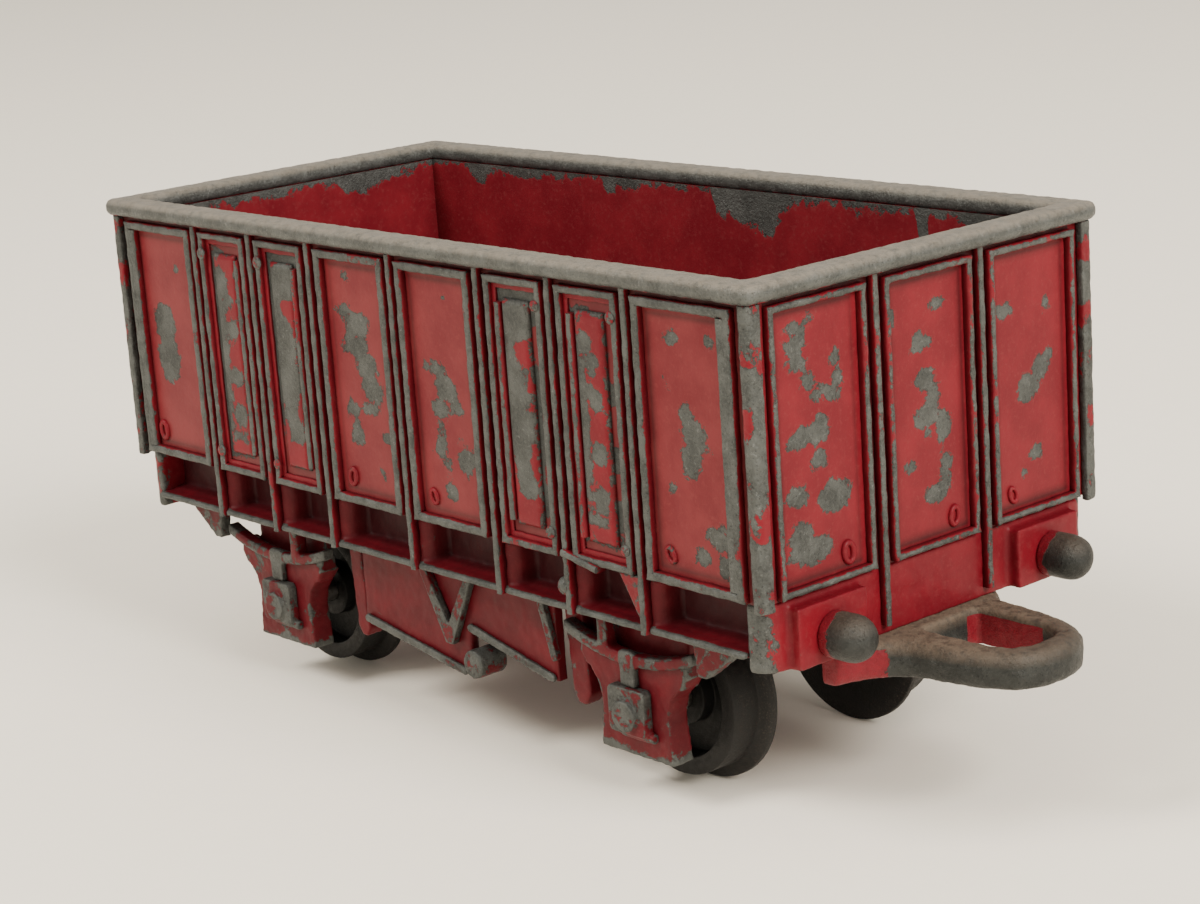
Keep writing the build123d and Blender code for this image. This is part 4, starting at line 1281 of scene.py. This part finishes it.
for number, (end, side) in enumerate((e, s) for e in ("front", "rear") for s in ("right", "left")):
    corner = "%s_%s" % (end, side)
    tag = end.capitalize() + side.capitalize()
    low, high = boxMm("axleguard_" + corner)
    centre = (low.x + high.x) / 2
    face, inward = (low.y, 1) if side == "right" else (high.y, -1)
    web = webUnderSpring(centre, face, inward)
    guard = castFrom([cadCopy("axleguard_" + corner), web], *guardLook["cast"], 140 + number)
    # softening closes the blind hole a little, so it is opened again round the axle
    axleLow, axleHigh = boxMm("axle_" + end)
    axleMiddle = (axleLow + axleHigh) / 2
    deepest = (axleLow.y if side == "right" else axleHigh.y) - inward * guardLook["endRoom"]
    bore = roundBar(guardLook["boreRadius"], 1, "Y",
                    (axleMiddle.x, deepest + inward, axleMiddle.z))
    guard = cutAway(guard, bore)
    co = points(guard)
    along = co[:, 0] - centre
    keep = guardLook["keep"]
    wanted = np.interp(co[:, 2], guardLook["heights"], guardLook["halfWidths"]) - keep
    made = np.interp(co[:, 2], guardLook["heights"], guardLook["cadHalfWidths"]) - keep
    narrow = np.sign(along) * (keep + (np.abs(along) - keep) * wanted / made)
    co[:, 0] = centre + np.where((np.abs(along) > keep) & (co[:, 2] < guardLook["springLow"]),
                                 narrow, along)
    setPoints(guard, co)
    foot = ramp(low.z - co[:, 2], -guardLook["foot"], 1.1, 0.5)
    markWearAndShade(guard, *guardLook["wear"], smoothNoise(co, 2.6, 150 + number) * 0.24 + foot)
    piece("axleguard" + tag, guard, "inside", "wagon", ["axleguard_" + corner])

    spring = castFrom([cadCopy("leaf_spring_" + corner)], *springLook["cast"], 160 + number)
    co = points(spring)
    fromMiddle = np.abs(co[:, 0] - centre)
    strap = springLook["strapWear"] * (fromMiddle < guardLook["strap"])
    tips = springLook["tipWear"] * ramp(fromMiddle, *springLook["tips"])
    markWearAndShade(spring, *springLook["wear"],
             smoothNoise(co, 2.4, 170 + number) * 0.25 + strap + tips)
    piece("leafSpring" + tag, spring, "inside", "wagon", ["leaf_spring_" + corner])

    boxLow = boxMm("axlebox_" + corner)[0]
    bar = roundBar(guardLook["barRadius"], guardLook["barHalfLength"], "X",
                   (centre + 0.35, face - inward * 0.12, boxLow.z - 0.02))
    axlebox = castFrom([cadCopy("axlebox_" + corner), bar], *boxLook["cast"], 180 + number)
    co = points(axlebox)
    upper = boxLook["upperWear"] * (co[:, 2] > boxLow.z + boxLook["upper"])
    markWearAndShade(axlebox, *boxLook["wear"], smoothNoise(co, 1.6, 190 + number) * 0.26 + upper)
    piece("axlebox" + tag, axlebox, "inside", "wagon", ["axlebox_" + corner])

    wheel = reworked(cadCopy("wheel_" + corner), ("BEVEL", wheelBevel))
    co = points(wheel)
    radius = np.hypot(co[:, 0] - axleMiddle.x, co[:, 2] - axleMiddle.z)
    store(wheel, "bare", ramp(radius, *rimWear))
    piece("wheel" + tag, wheel, "wheel", "%s_wheelset" % end, ["wheel_" + corner])

    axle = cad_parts["axle_" + end].data
    axle.materials.clear()
    axle.materials.append(finish["axle"])


# stage, light and camera

print("stage: floor, light and camera")
look = {
    "place": (82.0805, -69.7313, 37.1019), "azimuth": 49.199, "elevation": 14.335, "roll": -4.01,
    "lens": 81.33, "sensor": 36.0,
    "floorSize": 3.0, "paper": (0.97, 0.91, 0.80),
}


def makeFloor():
    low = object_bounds()[0]
    half = look["floorSize"] / 2
    mesh = flatMesh("paperFloor", [(-half, -half, low[2]), (half, -half, low[2]),
                                   (half, half, low[2]), (-half, half, low[2])], (), [(0, 1, 2, 3)])
    material = bpy.data.materials.new("palePaper")
    material.use_nodes = True
    tree = material.node_tree
    shader = tree.nodes["Principled BSDF"]
    where = addNode(tree, "ShaderNodeTexCoord")
    fibre = grainOf(tree, where.outputs["Object"], 900, 4)
    link(tree, blendColour(tree, fibre, look["paper"], tuple(c * 0.97 for c in look["paper"])),
         shader.inputs["Base Color"])
    shader.inputs["Roughness"].default_value = 0.9
    mesh.materials.append(material)
    thing = newObject("paperFloor", mesh)


def softLight(label, place, target, size, power, colour):
    lamp = bpy.data.lights.new(label, "AREA")
    lamp.shape = "DISK"
    lamp.size = size
    lamp.energy = power
    lamp.color = colour
    thing = newObject(label, lamp)
    thing.location = place
    way = Vector(target) - Vector(place)
    thing.rotation_euler = way.to_track_quat("-Z", "Y").to_euler()


def makeCamera():
    azimuth = math.radians(look["azimuth"])
    elevation = math.radians(look["elevation"])
    roll = math.radians(look["roll"])
    forward = Vector((-math.sin(azimuth) * math.cos(elevation),
                      math.cos(azimuth) * math.cos(elevation), -math.sin(elevation)))
    level = Vector((math.cos(azimuth), math.sin(azimuth), 0))
    upright = level.cross(forward)
    right = math.cos(roll) * level + math.sin(roll) * upright
    up = right.cross(forward)
    lens = bpy.data.cameras.new("camera")
    lens.sensor_width = look["sensor"]
    lens.lens = look["lens"]
    lens.clip_start = 0.005
    lens.clip_end = 10
    thing = newObject("camera", lens)
    turn = Matrix((right, up, -forward)).transposed().to_4x4()
    thing.matrix_world = Matrix.Translation(Vector(look["place"]) * mm) @ turn
    bpy.context.scene.camera = thing


makeFloor()
softLight("keyLight", (-0.12, -0.30, 0.36), (0, 0, 0.01), 0.20, 2.1, (1.0, 0.94, 0.85))
softLight("fillLight", (0.36, -0.02, 0.26), (0, 0, 0.01), 0.22, 2.8, (1.0, 0.94, 0.86))
world = bpy.data.worlds.new("softRoom")
world.use_nodes = True
world.node_tree.nodes["Background"].inputs["Color"].default_value = (0.95, 0.90, 0.81, 1)
world.node_tree.nodes["Background"].inputs["Strength"].default_value = 1.0
bpy.context.scene.world = world
makeCamera()
